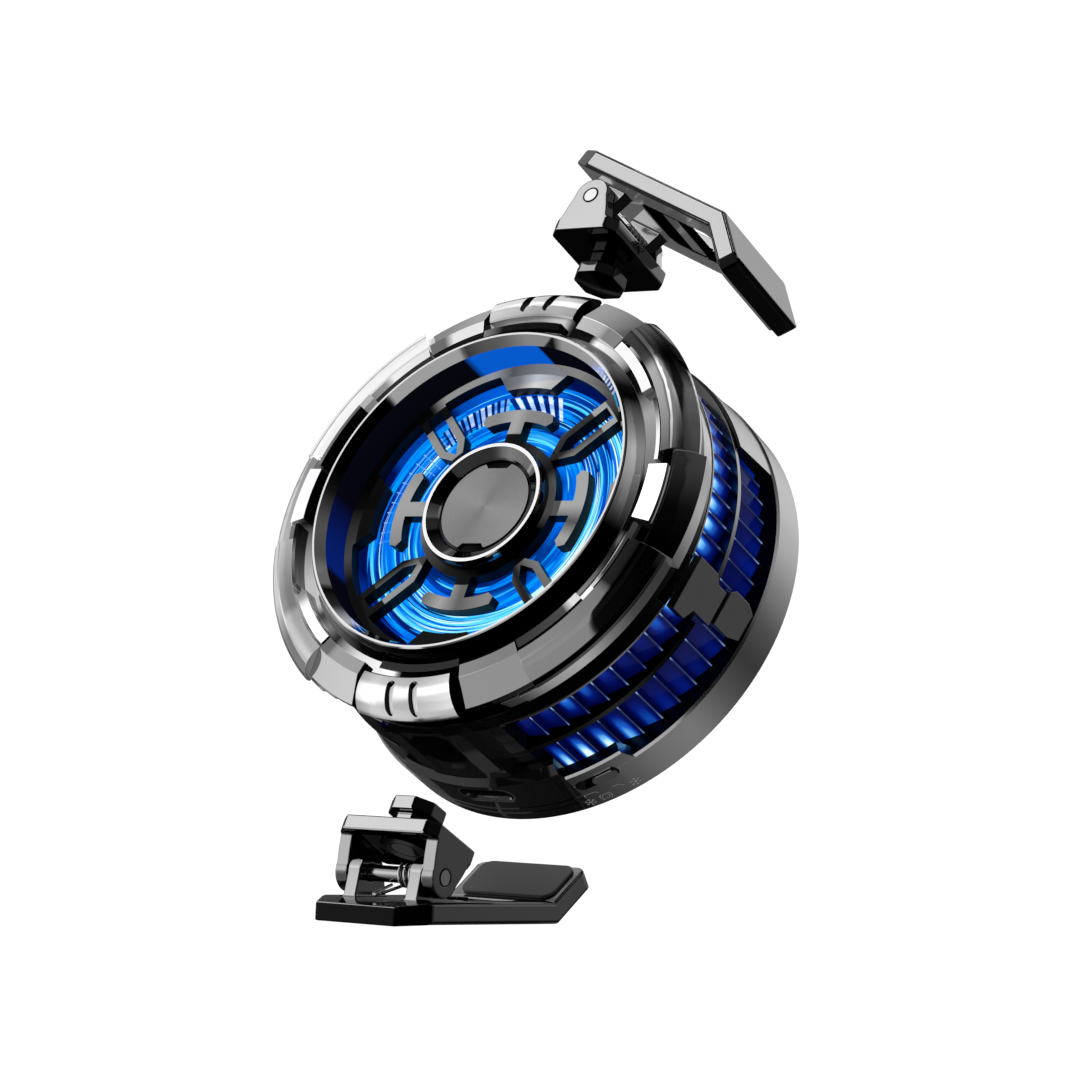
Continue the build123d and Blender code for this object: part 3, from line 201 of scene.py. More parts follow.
class Look(Tree):
    """A new material's tree, with its main shader and the facts about a point that its colours go by."""

    sockets = {
        "base": "Base Color", "metallic": "Metallic", "roughness": "Roughness",
        "specular": "Specular IOR Level", "coat": "Coat Weight", "coat_roughness": "Coat Roughness",
        "anisotropic": "Anisotropic", "tangent": "Tangent", "normal": "Normal",
        "alpha": "Alpha", "glow": "Emission Color", "strength": "Emission Strength"}

    def __init__(self, name):
        self.material = bpy.data.materials.new(name)
        self.material.use_nodes = True
        super().__init__(self.material.node_tree)
        self.main = self.node("BsdfPrincipled")
        self.feed(self.node("OutputMaterial").inputs["Surface"], self.main.outputs[0])

    def finish(self, **inputs):
        """Fills the shader's inputs and gives the material."""
        for name, value in inputs.items():
            colour = name in ("base", "glow")
            self.feed(self.main.inputs[self.sockets[name]], rgb(value) if colour else value)
        return self.material

    @cached_property
    def place(self):
        """The point on the object, in the frame's metres."""
        return self.node("TexCoord").outputs["Object"]

    @cached_property
    def xyz(self):
        return self.split(self.place)

    @cached_property
    def facing_xyz(self):
        """The way that the face looks."""
        return self.split(self.normal)

    @cached_property
    def normal(self):
        return self.node("TexCoord").outputs["Normal"]

    @cached_property
    def up(self):
        """How far the face looks up."""
        return self.facing_xyz[2]

    @cached_property
    def height(self):
        return self.xyz[2]

    @cached_property
    def radius(self):
        """Distance from the fan's axis."""
        x, y = self.xyz[:2]
        return self.math("SQRT", self.math("ADD", self.times(x, x), self.times(y, y)))

    @cached_property
    def angle(self):
        """Angle round the fan's axis, from -180 to 180 degrees."""
        x, y = self.xyz[:2]
        return self.times(self.math("ARCTAN2", y, x), 180 / pi)

    @cached_property
    def circle(self):
        """Cosine and sine of the angle, which have no seam."""
        turn = self.times(self.angle, radians(1))
        return self.math("COSINE", turn), self.math("SINE", turn)

    def round_fan(self, stops):
        """A colour that goes by the angle round the fan."""
        return self.turn_ramp(self.scaled(self.angle, 1 / 360, 0.5), stops)

    def rings(self, value, stretch, scale, detail):
        """Noise that runs round the fan and changes with a value, such as the radius."""
        return self.noise(self.join(*self.circle, self.times(value, stretch)), scale, detail)

    def wander(self, scale, detail, amount, low):
        """A number that wanders a little from place to place."""
        return self.scaled(self.noise(self.place, scale, detail), amount, low)

    def facing(self, direction, start=0.955, end=0.98):
        """Whether the face looks one way."""
        made = self.node("VectorMath", operation="DOT_PRODUCT")
        self.feed(made.inputs[0], self.normal)
        made.inputs[1].default_value = Vector(direction).normalized()
        return self.fade(made.outputs["Value"], start, end)

    def bumped(self, height, distance, strength):
        """The normal of a surface with a fine grain."""
        made = self.node("Bump")
        made.inputs["Strength"].default_value = strength
        made.inputs["Distance"].default_value = distance
        self.feed(made.inputs["Height"], height)
        return made.outputs[0]


def metal(name, grey, roughness, grain=0.0, tint=(1.0, 1.0, 1.02)):
    """Polished or satin metal: its grey wanders a little and its roughness has a fine grain."""
    look = Look(name)
    turned = look.noise(look.join(look.times(look.angle, 0.0005), look.height, look.radius), 9000, 1)
    low, high = (tuple(grey * share * part for part in tint) for share in (0.93, 1.05))
    return look.finish(
        base=look.mix(look.noise(look.place, 90, 3), low, high),
        metallic=1.0,
        roughness=look.scaled(turned, grain, look.wander(400, 4, 0.05, roughness - 0.025)),
        normal=look.bumped(turned, 0.004 * MM, 0.15 + grain))


def gloss(name, grey, roughness):
    """Polished black plastic with a clear coat."""
    look = Look(name)
    return look.finish(
        base=look.mix(look.noise(look.place, 120, 2), grey * 0.8, grey * 1.3),
        roughness=look.wander(700, 4, 0.04, roughness),
        specular=0.3, coat=0.15, coat_roughness=0.03)


def matte(name, colour, roughness, grain_scale=5000, depth=0.01):
    """Moulded plastic, rubber or paint with a fine even grain."""
    look = Look(name)
    grain = look.noise(look.place, grain_scale, 3)
    low, high = (tuple(share * part for part in rgb(colour)[:3]) for share in (0.85, 1.12))
    return look.finish(
        base=look.mix(look.noise(look.place, 250, 3), low, high),
        roughness=look.scaled(grain, 0.12, roughness - 0.06),
        specular=0.4,
        normal=look.bumped(grain, depth * MM, 0.5))


def spun(name, grey):
    """Metal turned on a lathe: its grain runs in circles and stretches the highlights across."""
    look = Look(name)
    grain = look.noise(look.join(look.radius, look.times(look.angle, 2e-6), 0), 14000, 3)
    return look.finish(
        base=look.mix(grain, grey * 0.8, grey * 1.15),
        metallic=1.0,
        roughness=look.scaled(grain, 0.12, 0.24),
        anisotropic=0.85,
        tangent=look.node("Tangent", direction_type="RADIAL", axis="Z").outputs[0],
        normal=look.bumped(grain, 0.003 * MM, 0.25))


def sided(name, faces, other, roughness=0.05, metallic=1.0, lit=()):
    """Metal with painted reflections and shade: one grey for each way that its flat faces look, and another
    on its rounded edges. Lit faces get their grey as a painted glow, because they only mirror the parts
    beside them."""
    look = Look(name)
    colour = look.mix(look.noise(look.place, 120, 2), other * 0.9, other * 1.1)
    for direction, grey in faces:
        limits = (0.985, 0.996) if direction == (0, 0, 1) else (0.955, 0.98)
        colour = look.mix(look.facing(direction, *limits), colour, grey)
    glow = 0.0
    for direction, grey in lit:
        glow = look.mix(look.facing(direction), glow, grey)
    return look.finish(
        base=colour, metallic=metallic, roughness=look.wander(300, 2, 0.015, roughness),
        glow=glow, strength=1.0 if lit else 0.0)


def panelled(name, top, slope, side, roughness=0.04, glow=0.0):
    """Metal in painted reflections: its grey goes by the angle round the fan, apart on its top, on its slopes
    and on its sides. A little glow stands for light that comes back from the parts beside it."""
    look = Look(name)
    lower = look.mix(look.fade(look.up, 0.2, 0.35), look.round_fan(side), look.round_fan(slope))
    on_top = look.fade(look.up, 0.9, 0.96)
    return look.finish(
        base=look.mix(on_top, lower, look.round_fan(top)),
        metallic=1.0,
        roughness=look.wander(300, 2, 0.015, roughness),
        glow=look.mix(on_top, lower, 0.0) if glow else 0.0,
        strength=glow)


def arm_metal(name):
    """The lower arm in painted reflections and shade: a long side that is black up to its knee and dark grey
    beyond, and pale lugs.
    """
    look = Look(name)
    y, z = look.xyz[1:]
    right = look.math("ADD", look.times(y, right_per_y), look.times(z, right_per_z))
    # Painted shade on the long side: black up to the knee, dark grey beyond
    side = look.mix(look.step(right, arm_knee_right, 0.3 * MM), 0.003, 0.13)
    colour = look.mix(look.noise(look.place, 120, 2), 0.012, 0.02)
    colour = look.mix(look.facing((1, 0, 0), 0.9, 0.97), colour, side)
    faces = ((0, 0.4, 0.92), 0.2), ((0, 0.8, 0.6), 0.24), ((0, 1, 0.3), 0.2), ((0, 0, 1), 0.4)
    for direction, grey in faces:
        colour = look.mix(look.facing(direction), colour, grey)
    # Painted reflections on the faces that look back and up: grey, paler above the lugs' height, and black at
    # the arm's end
    front = look.mix(look.step(z, arm_lug_height, 0.5 * MM), 0.13, 0.26)
    front = look.mix(look.step(y, arm_end_y, -0.3 * MM), front, 0.006)
    return look.finish(
        base=look.mix(look.facing((0, -0.43, 0.9)), colour, front),
        metallic=1.0,
        roughness=look.wander(300, 2, 0.02, 0.07))


def spring_metal(name):
    """Spring wire: dark steel with a painted highlight, one bright line along each turn."""
    look = Look(name)
    x, _, z = look.facing_xyz
    line = look.times(look.fade(x, -0.15, -0.35), look.fade(x, -0.8, -0.6), look.fade(z, -0.2, 0.2))
    return look.finish(
        base=look.mix(look.noise(look.place, 600, 2), 0.3, 0.4),
        metallic=1.0, roughness=0.15, glow=look.mix(line, 0.0, 0.45), strength=1.0)


def grille_metal(name):
    """The grille in painted reflections: its ring, its tabs, its bars and its middle each go from grey to
    black round the fan.
    """
    look = Look(name)
    ring = look.round_fan(tones(
        (-180, 0.1), (-160, 0.3), (-150, 0.1), (-120, 0.1), (-60, 0.05), (40, 0.05), (52, 0.3), (70, 0.55),
        (88, 0.5), (100, 0.35), (108, 0.6), (128, 0.6), (134, 0.05), (170, 0.04), (180, 0.08)))
    tabs = look.round_fan(tones(
        (-180, 0.1), (-60, 0.1), (30, 0.6), (68, 0.6), (80, 0.68), (88, 0.8), (96, 0.5), (104, 0.4),
        (112, 0.1), (180, 0.08)))
    bars = look.round_fan(tones(
        (-180, 0.6), (-158, 0.5), (-150, 0.1), (-142, 0.1), (-130, 0.55), (-112, 0.4), (-100, 0.6),
        (-88, 0.36), (-70, 0.5), (-50, 0.1), (-40, 0.4), (-18, 0.6), (-8, 0.3), (2, 0.62), (32, 0.6),
        (42, 0.15), (52, 0.2), (62, 0.46), (84, 0.5), (92, 0.62), (104, 0.5), (158, 0.54), (170, 0.6),
        (180, 0.6)))
    flange = look.round_fan(tones(
        (-180, 0.6), (-165, 0.5), (-145, 0.28), (-110, 0.12), (-75, 0.02), (-18, 0.02), (-4, 0.3), (24, 0.3),
        (36, 0.08), (58, 0.2), (80, 0.08), (150, 0.1), (180, 0.6)))
    colour = flange
    zones = (grille_flange_radius, bars), (grille_tab_radius, tabs), (grille_ring_radius, ring)
    for radius, outer in zones:
        colour = look.mix(look.step(look.radius, radius, 0.1 * MM), colour, outer)
    side = look.mix(look.noise(look.join(look.angle, look.height, 0), 0.05, 0), 0.004, 0.03)
    flat = look.fade(look.up, 0.9, 0.96)
    # Flat faces glow with their grey as a painted reflection
    return look.finish(
        base=look.mix(flat, side, look.mix(0.72, colour, 0.0)),
        metallic=1.0,
        roughness=look.scaled(flat, -0.35, 0.45),
        glow=look.mix(flat, 0.0, colour), strength=0.85)


def bezel_metal(name):
    """The bezel in painted reflections: a bright lip, a slope in grey and black facets, and an inner wall
    that shows painted blue light.
    """
    look = Look(name)
    slope = look.round_fan([
        (-180, 0.02), (-160, 0.16), (-148, 0.3), (-144, 0.01), (-136, 0.01), (-130, 0.25), (-118, 0.7),
        (-112, 0.05), (-100, 0.2), (-94, 0.06), (-92, 0.9), (-86, 0.9), (-84, 0.03), (-71, 0.1), (-64, 0.4),
        (-30, 0.5), (0, 0.1), (16, 0.08), (36, 0.13), (42, 0.6), (70, 0.4), (88, 0.25), (104, 0.1),
        (112, 0.04), (114, 0.38), (142, 0.37), (144, 0.003), (172, 0.004), (180, 0.02)])
    slope_light = look.round_fan([
        (-180, 0.0), (-154, 0.02), (-148, 0.12), (-142, 0.12), (-140, 0.0), (-130, 0.02), (-120, 0.4),
        (-116, 0.0), (-40, 0.0), (-34, 0.35), (-22, 0.25), (-10, 0.0), (44, 0.0), (48, 0.35), (72, 0.28),
        (76, 0.0), (180, 0.0)])
    dark, blue = (0.0, 0.0, 0.004), (0.0, 0.1, 0.6)
    wall_light = look.round_fan([
        (-180, dark), (-176, (0.0, 0.003, 0.04)), (-162, (0.0, 0.01, 0.13)), (-152, (0.0, 0.012, 0.15)),
        (-149, dark), (83, dark), (84, blue), (112, blue), (113, (0.0, 0.0, 0.002)), (180, dark)])
    wall = look.fade(look.up, 0.3, 0.15)
    outside = look.step(look.radius, bezel_wall_radius, 0.075 * MM)
    inner_wall = look.times(wall, look.math("SUBTRACT", 1.0, outside))
    colour = look.mix(look.fade(look.up, 0.95, 0.99), slope, 0.8)
    colour = look.mix(wall, colour, 0.004)
    off_slope = look.math("MAXIMUM", wall, look.fade(look.up, 0.92, 0.98))
    return look.finish(
        base=look.mix(look.times(outside, wall), colour, 0.01),
        metallic=look.math("SUBTRACT", 1.0, inner_wall),
        specular=0.0,
        roughness=look.wander(300, 2, 0.02, 0.03),
        glow=look.mix(inner_wall, look.mix(off_slope, slope_light, 0.0), wall_light), strength=1.0)


def lug_metal(name):
    """The lugs: satin silver with painted reflections that pale outwards, and painted shade on the walls of
    their slots.
    """
    look = Look(name)
    # Painted reflections: greys by the angle round the fan, paler outwards, and dark on faces that look
    # sideways
    around = look.round_fan(tones(
        (-180, 0.8), (-105, 0.74), (-99, 0.95), (-93, 0.86), (-86, 0.84), (-76, 1.0), (70, 0.66), (82, 0.86),
        (88, 0.8), (94, 0.9), (104, 1.0), (180, 0.8)))
    paler = look.ramp(look.scaled(look.radius, 200, -5.4), [(0, 0.6), (0.35, 0.75), (1, 1.0)])
    sideways = look.size(look.facing_xyz[0])
    off_middle = look.size(look.math("SUBTRACT", 90, look.size(look.angle)))
    # Painted shade on the walls of the slots
    slot_wall_shade = look.times(look.fade(sideways, 0.35, 0.6), look.fade(off_middle, 8, 7))
    colour = look.mix(look.fade(sideways, 0.6, 0.8), look.mix(1.0, around, paler, "MULTIPLY"), 0.03)
    return look.finish(
        base=look.mix(slot_wall_shade, colour, 0.004),
        metallic=1.0,
        roughness=look.wander(300, 3, 0.04, 0.16))


def slot_floor_glow(name):
    """Pale floors of the lugs' slots in painted light, brighter outwards."""
    look = Look(name)
    return look.finish(
        base=look.ramp(look.scaled(look.radius, 250, -6.95), [(0, 0.45), (1, 0.95)]),
        roughness=0.35, glow=1.0, strength=0.22)


def louvre_glow(name, heights, lit_stops, lit_from, lit_to):
    """Clear blue louvres lit from behind: navy cells that darken towards the rib in painted shade, thin pale
    lines of painted highlight between them, and some lit cells.
    """
    look = Look(name)
    low, high = heights
    turns = look.math("DIVIDE", look.math("ADD", look.angle, 360), 360 / louvre_count)
    phase = look.math("FRACT", turns)
    lot = look.noise(look.join(look.math("FLOOR", turns), 0.37, 0), 1.7, 0)
    level = look.math("DIVIDE", look.math("SUBTRACT", look.height, low), high - low)
    hump = look.times(look.fade(phase, 0.1, 0.45), look.fade(phase, 0.9, 0.6))
    lit = look.math("ADD", look.round_fan(lit_stops), look.fade(lot, 0.5, 0.75, 0.02, 0.14))
    # Cells darken towards the rib in painted shade
    cell = look.ramp(look.times(look.fade(level, lit_to, lit_from), hump, lit), [
        (0, (0.0002, 0.0006, 0.03)), (0.15, (0.0005, 0.008, 0.16)), (0.5, (0.01, 0.12, 0.6)),
        (0.8, (0.2, 0.6, 1.0)), (1, (0.8, 0.97, 1.0))])
    # Painted highlights at the top and bottom ends of the pale lines
    ends = look.math("MAXIMUM", look.fade(level, 0.72, 0.9), look.fade(level, 0.25, 0.0, 0.1, 0.5))
    line = look.times(look.fade(phase, 0.9, 0.94), look.fade(phase, 0.99, 0.96), ends,
                      look.fade(lot, 0.3, 0.6, 0.3, 1.0))
    glow = look.mix(line, cell, (0.35, 0.6, 0.95))
    return look.finish(
        base=(0.0005, 0.002, 0.03),
        roughness=look.wander(900, 2, 0.05, 0.08),
        specular=0.12,
        glow=look.mix(look.fade(phase, 0.05, 0.02), glow, (0.0, 0.0, 0.004)), strength=1.0)


def wall_glow(name):
    """The duct under the grille in painted light: electric blue on its far side, navy and near black
    elsewhere.
    """
    look = Look(name)
    dark, navy, middle, blue = (0.0, 0.0006, 0.01), (0.0, 0.006, 0.09), (0.0, 0.045, 0.35), (0.0, 0.11, 0.7)
    near = (0.0, 0.03, 0.3)
    light = look.round_fan([
        (-180, dark), (-172, navy), (-160, navy), (-152, near), (-146, near), (-142, dark), (30, dark),
        (44, navy), (82, navy), (92, blue), (126, blue), (130, navy), (134, middle), (156, middle),
        (160, navy), (180, dark)])
    sweep = look.noise(look.join(look.times(look.angle, 0.02), look.times(look.height, 60), 0), 2.2, 1)
    return look.finish(
        base=(0.0, 0.0008, 0.008), roughness=0.12, specular=0.0,
        glow=look.mix(look.fade(sweep, 0.3, 0.6, 0.35, 0.0), light, dark), strength=1.0)


def blade_glow(name):
    """Blades in deep blue with broad azure patches of painted light round the fan."""
    look = Look(name)
    return look.finish(
        base=(0.0, 0.01, 0.1), roughness=0.25, specular=0.2,
        glow=look.ramp(look.rings(look.height, 30, 2.4, 2), [
            (0.3, (0.0, 0.008, 0.14)), (0.45, (0.0, 0.05, 0.42)), (0.6, (0.0, 0.16, 0.85)),
            (0.75, (0.01, 0.3, 1.0))]),
        strength=0.7)


def swirl_glow(name, low, high, strength):
    """Light of the spinning fan: one colour that swells and fades along each streak."""
    look = Look(name)
    swell = look.fade(look.rings(look.radius, 900, 1.5, 1), 0.4, 0.6)
    return look.finish(
        base=(0.0, 0.01, 0.05), roughness=0.4, specular=0.0,
        glow=look.mix(swell, low, high), strength=strength)


def haze_glow(name):
    """The glow between the streaks: fine rings in azure and deep blue, in painted shade below the hub and
    plain at the far rim."""
    look = Look(name)
    fine = look.rings(look.radius, 1500, 1.1, 3)
    broad = look.rings(look.radius, 320, 1.2, 1)
    colour = look.ramp(look.scaled(fine, 0.45, look.times(broad, 0.65)), [
        (0.38, (0.0, 0.01, 0.14)), (0.48, (0.0, 0.05, 0.42)), (0.58, (0.0, 0.18, 0.9)),
        (0.68, (0.01, 0.38, 1.0)), (0.8, (0.15, 0.75, 1.0))])
    inner, outer = hub_shade_radii
    # Painted shade below the hub
    hub_shadow = look.times(look.fade(look.radius, outer * MM, inner * MM), look.fade(look.angle, -155, -130),
                           look.fade(look.angle, -10, -35))
    colour = look.mix(hub_shadow, colour, (0.0, 0.01, 0.12))
    far = look.times(look.fade(look.angle, 92, 93), look.fade(look.angle, 160, 159),
                     look.step(look.radius, far_rim_radius * MM, 0.05 * MM))
    return look.finish(
        base=(0.0, 0.01, 0.08), roughness=0.4, specular=0.0,
        glow=look.mix(far, colour, (0.0, 0.11, 0.7)), strength=0.95,
        alpha=look.math("MAXIMUM", look.fade(broad, 0.36, 0.52, 0.6, 0.95), far))


def pale_floor():
    """Plain white paper."""
    return Look("pale_floor").finish(
        base=0.95, roughness=0.9, specular=0.0, glow=1.0, strength=0.12)


# Materials, by the record's slot
materials = {
    "dark_metal": metal("gunmetal", 0.42, 0.16, 0.04),
    "light_metal": metal("bright_gunmetal", 0.27, 0.05, 0.02),
    "silver": metal("satin_silver", 0.85, 0.1, 0.03),
    "chrome": metal("polished_chrome", 0.9, 0.04),
    "black_gloss": gloss("polished_black", 0.003, 0.04),
    "black_matte": matte("moulded_black", 0.015, 0.45),
    "blue_clear": louvre_glow("blue_louvre", lower_louvre_heights, [
        (-180, 0.1), (-71, 0.2), (-68, 0.9), (-62, 1.2), (-52, 1.0), (-46, 0.2), (-20, 0.03), (70, 0.08),
        (180, 0.1)], 0.05, 0.9),
    "blue_fan": blade_glow("blue_fan"),
    "clip_metal": metal("clip_gunmetal", 0.6, 0.07, 0.02),
    "grey_rubber": matte("grey_rubber", 0.17, 0.55, 4000, 0.02),
    "cold_plate": metal("brushed_plate", 0.75, 0.22, 0.12),
    "aluminium": metal("plain_aluminium", 0.6, 0.25, 0.05),
    "magnet": metal("nickel", 0.55, 0.2),
    "copper": metal("enamelled_copper", 0.6, 0.25, 0.05, (1.0, 0.5, 0.28)),
    "ceramic": matte("white_ceramic", 0.8, 0.5),
    "board": matte("green_board", (0.01, 0.09, 0.04), 0.4),
    "steel": metal("spring_steel", 0.6, 0.14, 0.03),
    "brass": metal("sintered_bronze", 0.6, 0.35, 0.1, (1.0, 0.72, 0.35)),
    "badge": spun("spun_badge", 0.24),
}
# Painted reflections on the hub ring's slope and sides, by the angle round the fan
hub_ring_slope = tones(
    (-180, 0.4), (-150, 0.7), (-120, 0.4), (-90, 0.08), (-66, 0.1), (-63, 0.6), (-56, 0.6), (-53, 0.02),
    (-12, 0.02), (8, 0.35), (60, 0.35), (180, 0.3))

# Materials of single nodes. Their rounded greys stand for what the facets mirror in the photograph
own_materials = {
    "upper_louvres": louvre_glow("blue_upper_louvre", upper_louvre_heights, [
        (-180, 0.1), (-60, 0.1), (-56, 0.6), (-50, 0.5), (-47, 0.08), (-30, 0.1), (-20, 0.8), (14, 1.0),
        (50, 0.6), (70, 0.1), (180, 0.1)], 0.95, 0.0),
    "front_grille": grille_metal("grille_gunmetal"),
    "bezel": bezel_metal("bezel_metal"),
    "socket_lugs": lug_metal("lug_silver"),
    "fan_duct": wall_glow("blue_wall"),
    "inner_sleeve": matte("blue_sleeve", (0.001, 0.006, 0.05), 0.4),
    "bridge_blocks": sided("bridge_gunmetal", [((0, 0, 1), 0.3)], 0.4, 0.2),
    "middle_rib": panelled(
        "rib_gunmetal",
        tones((-180, 0.3), (-120, 0.1), (-30, 0.06), (-18, 0.2), (-4, 0.38), (40, 0.36), (70, 0.2),
              (180, 0.3)),
        tones((-180, 0.3), (-60, 0.3), (0, 0.55), (60, 0.4), (180, 0.3)),
        tones((-180, 0.5), (-60, 0.2), (-48, 0.25), (-34, 0.1), (-12, 0.1), (-2, 0.4), (12, 0.6), (60, 0.4),
              (180, 0.5)), 0.12),
    # Top faces painted black as painted shade under the louvres; other faces in painted reflection
    "base_housing": sided("base_gunmetal", [((0, 0, 1), 0.02)], 0.42, 0.17),
    "bevel_bands": panelled(
        "band_metal", even(0.3), even(0.3),
        [(-180, 0.2), (-110, 0.03), (-68, 0.005), (-60, 0.045), (-52, 0.25), (-44, 0.33), (-36, 0.15),
         (-28, 0.055), (-18, 0.035), (14, 0.06), (40, 0.25), (62, 0.2), (100, 0.05), (180, 0.2)], 0.3, 0.95),
    "rim_segments": panelled(
        "segment_metal",
        tones((-180, 0.5), (-121, 0.42), (-119, 0.62), (-100, 0.62), (-60, 0.5), (62, 0.52), (64, 0.7),
              (100, 0.92), (117, 0.92), (119, 0.42), (180, 0.5)), even(0.3), even(0.1)),
    "deck_trims": panelled(
        "trim_metal",
        tones((-166, 0.05), (-160, 0.5), (-151, 0.2), (-144, 0.6), (-141, 1.0), (-112, 1.0), (-103, 0.2),
              (-60, 0.2), (-39, 0.3), (-37, 0.9), (-28, 0.8), (-26, 0.25), (5, 0.25), (8, 1.0), (18, 1.0),
              (26, 0.45), (30, 0.1), (34, 1.0), (60, 1.0), (72, 0.03), (100, 0.1), (124, 0.9), (138, 0.95),
              (140, 0.6), (152, 0.4), (180, 0.5)), even(0.3), even(0.5)),
    "front_housing": panelled(
        "deck_black",
        tones((-172, 0.04), (-168, 0.35), (-150, 0.75), (-140, 0.75), (-136, 0.15), (-130, 0.5), (-124, 0.05),
              (-112, 0.9), (-97, 1.0), (-95, 0.0), (-45, 0.0), (-42, 1.0), (-26, 1.0), (-23, 0.7), (-16, 0.7),
              (-12, 0.05), (4, 0.05), (8, 0.45), (28, 0.65), (37, 0.05), (47, 0.05), (50, 0.6), (56, 0.85),
              (65, 1.0), (67, 0.1), (77, 0.03), (80, 0.85), (100, 0.85), (104, 0.65), (148, 0.7),
              (162, 0.05)),
        tones((-180, 0.3), (-100, 0.1), (-80, 0.5), (-70, 0.1), (180, 0.1)),
        [(-180, 0.01), (-40, 0.01), (0, 0.08), (25, 0.5), (60, 0.5), (120, 0.05), (180, 0.01)]),
    "side_armour": panelled(
        "armour_black",
        tones((-180, 0.8), (-90, 0.5), (-16, 0.04), (-9, 0.08), (0, 0.34), (5, 0.36), (9, 0.25), (90, 0.5),
              (180, 0.85)),
        tones((-180, 0.95), (-90, 0.4), (-14, 0.02), (-2, 0.1), (9, 0.25), (90, 0.5), (180, 0.95)),
        [(-180, 0.5), (-90, 0.5), (-16, 0.2), (0, 0.5), (10, 0.55), (90, 0.5), (180, 0.5)], 0.06, 0.3),
    "bezel_skirt": panelled(
        "skirt_black",
        tones((-180, 0.3), (-160, 0.4), (-135, 0.5), (-120, 0.1), (-100, 0.01), (-20, 0.01), (0, 0.3),
              (12, 0.6), (26, 0.1), (45, 0.4), (70, 0.05), (180, 0.1)),
        tones((-180, 0.3), (-160, 0.4), (-135, 0.6), (-124, 0.5), (-112, 0.1), (-100, 0.0), (-12, 0.0),
              (0, 0.45), (15, 0.7), (28, 0.45), (34, 0.05), (40, 0.1), (48, 0.45), (68, 0.6), (73, 0.03),
              (180, 0.1)),
        [(-180, 0.1), (-120, 0.02), (-20, 0.005), (10, 0.4), (60, 0.2), (180, 0.1)], 0.04, 0.4),
    "hub_ring": panelled("hub_ring_metal", [(-180, 0.92), (180, 0.97)], hub_ring_slope, hub_ring_slope),
    "hub_bevel": panelled(
        "hub_bevel_metal",
        tones((-180, 0.45), (-166, 0.5), (-163, 0.2), (-120, 0.22), (-90, 0.08), (-62, 0.12), (-56, 0.3),
              (-34, 0.3), (-18, 0.1), (16, 0.08), (22, 0.42), (42, 0.45), (46, 0.28), (80, 0.3), (100, 0.14),
              (180, 0.15)),
        tones((-180, 0.5), (-166, 0.55), (-163, 0.25), (-120, 0.25), (-90, 0.1), (-62, 0.15), (-56, 0.4),
              (-34, 0.4), (-18, 0.15), (16, 0.1), (22, 0.5), (42, 0.55), (46, 0.3), (80, 0.35), (100, 0.2),
              (180, 0.2)), even(0.02)),
    "bottom_right_shoulder_panel": panelled(
        "lower_right_panel",
        tones((-65, 0.52), (-45, 0.52), (-29, 0.47), (-27, 0.15), (-14, 0.13)), even(0.25), even(0.2), 0.03),
    "top_right_shoulder_panel": panelled(
        "upper_right_panel",
        tones((10, 0.35), (20, 0.53), (30, 0.65), (40, 0.68), (43, 0.3), (47, 0.22), (60, 0.28)),
        [(-180, 0.25), (13, 0.08), (20, 0.2), (26, 0.5), (30, 1.0), (33, 0.8), (37, 0.3), (40, 0.03),
         (44, 0.03), (48, 0.15), (54, 0.3), (180, 0.25)], even(0.5), 0.03),
    "top_left_shoulder_panel": panelled(
        "upper_left_panel", tones((115, 0.98), (170, 0.95)), even(0.98), even(0.9), 0.04, 0.5),
    "bottom_left_shoulder_panel": panelled(
        "lower_left_panel", tones((-172, 0.74), (-150, 0.5), (-143, 0.48), (-141, 0.64), (-122, 0.68)),
        [(-180, 0.95), (-148, 0.9), (-136, 0.25), (180, 0.25)],
        [(-180, 0.9), (-120, 0.3), (180, 0.9)], 0.04, 0.25),
    "top_clip_base": sided(
        "upper_clip_metal", [((0, 0, 1), 0.68), ((1, 0, 0), 0.25), ((1, 0.33, 0), 0.5)], 0.015),
    "top_arm": sided(
        "upper_arm_metal", [((0, 0, 1), 0.68), ((-0.35, -0.94, 0), 0.02), ((0.96, 0.26, 0), 0.24)],
        0.01, 0.09, lit=[((-0.35, -0.94, 0), 0.07)]),
    "top_hinge_pin": sided("upper_pin_metal", [((0, 0, 1), 0.97)], 0.1),
    "top_plug": sided("upper_plug_metal", [((0, 0, 1), 0.4), ((1, 0, 0), 0.08)], 0.008),
    "top_plug_washer": metal("upper_washer_metal", 0.03, 0.2),
    "bottom_clip_base": sided(
        "lower_clip_metal",
        [((0, 0, 1), 0.64), ((0, -0.3, 0.95), 0.24), ((0, -0.6, 0.8), 0.1), ((1, 0, 0), 0.13)], 0.01),
    "bottom_arm": arm_metal("lower_arm_metal"),
    "bottom_hinge_pin": metal("lower_pin_metal", 0.3, 0.14, 0.03),
    "bottom_spring": spring_metal("lower_spring_metal"),
    "bottom_plug": sided("lower_plug_metal", [((0, 0, 1), 0.65), ((1, 0, 0), 0.1)], 0.008),
    "bottom_plug_washer": metal("lower_washer_metal", 0.03, 0.2),
    # Rubber pad: lighter on the faces that look up and darker on its sides and edges, in painted light and
    # shade
    "bottom_clip_pad": sided("pad_rubber", [((0, 0, 1), 0.1), ((0, -0.4, 0.92), 0.1)], 0.02, 0.35, 0.0),
}

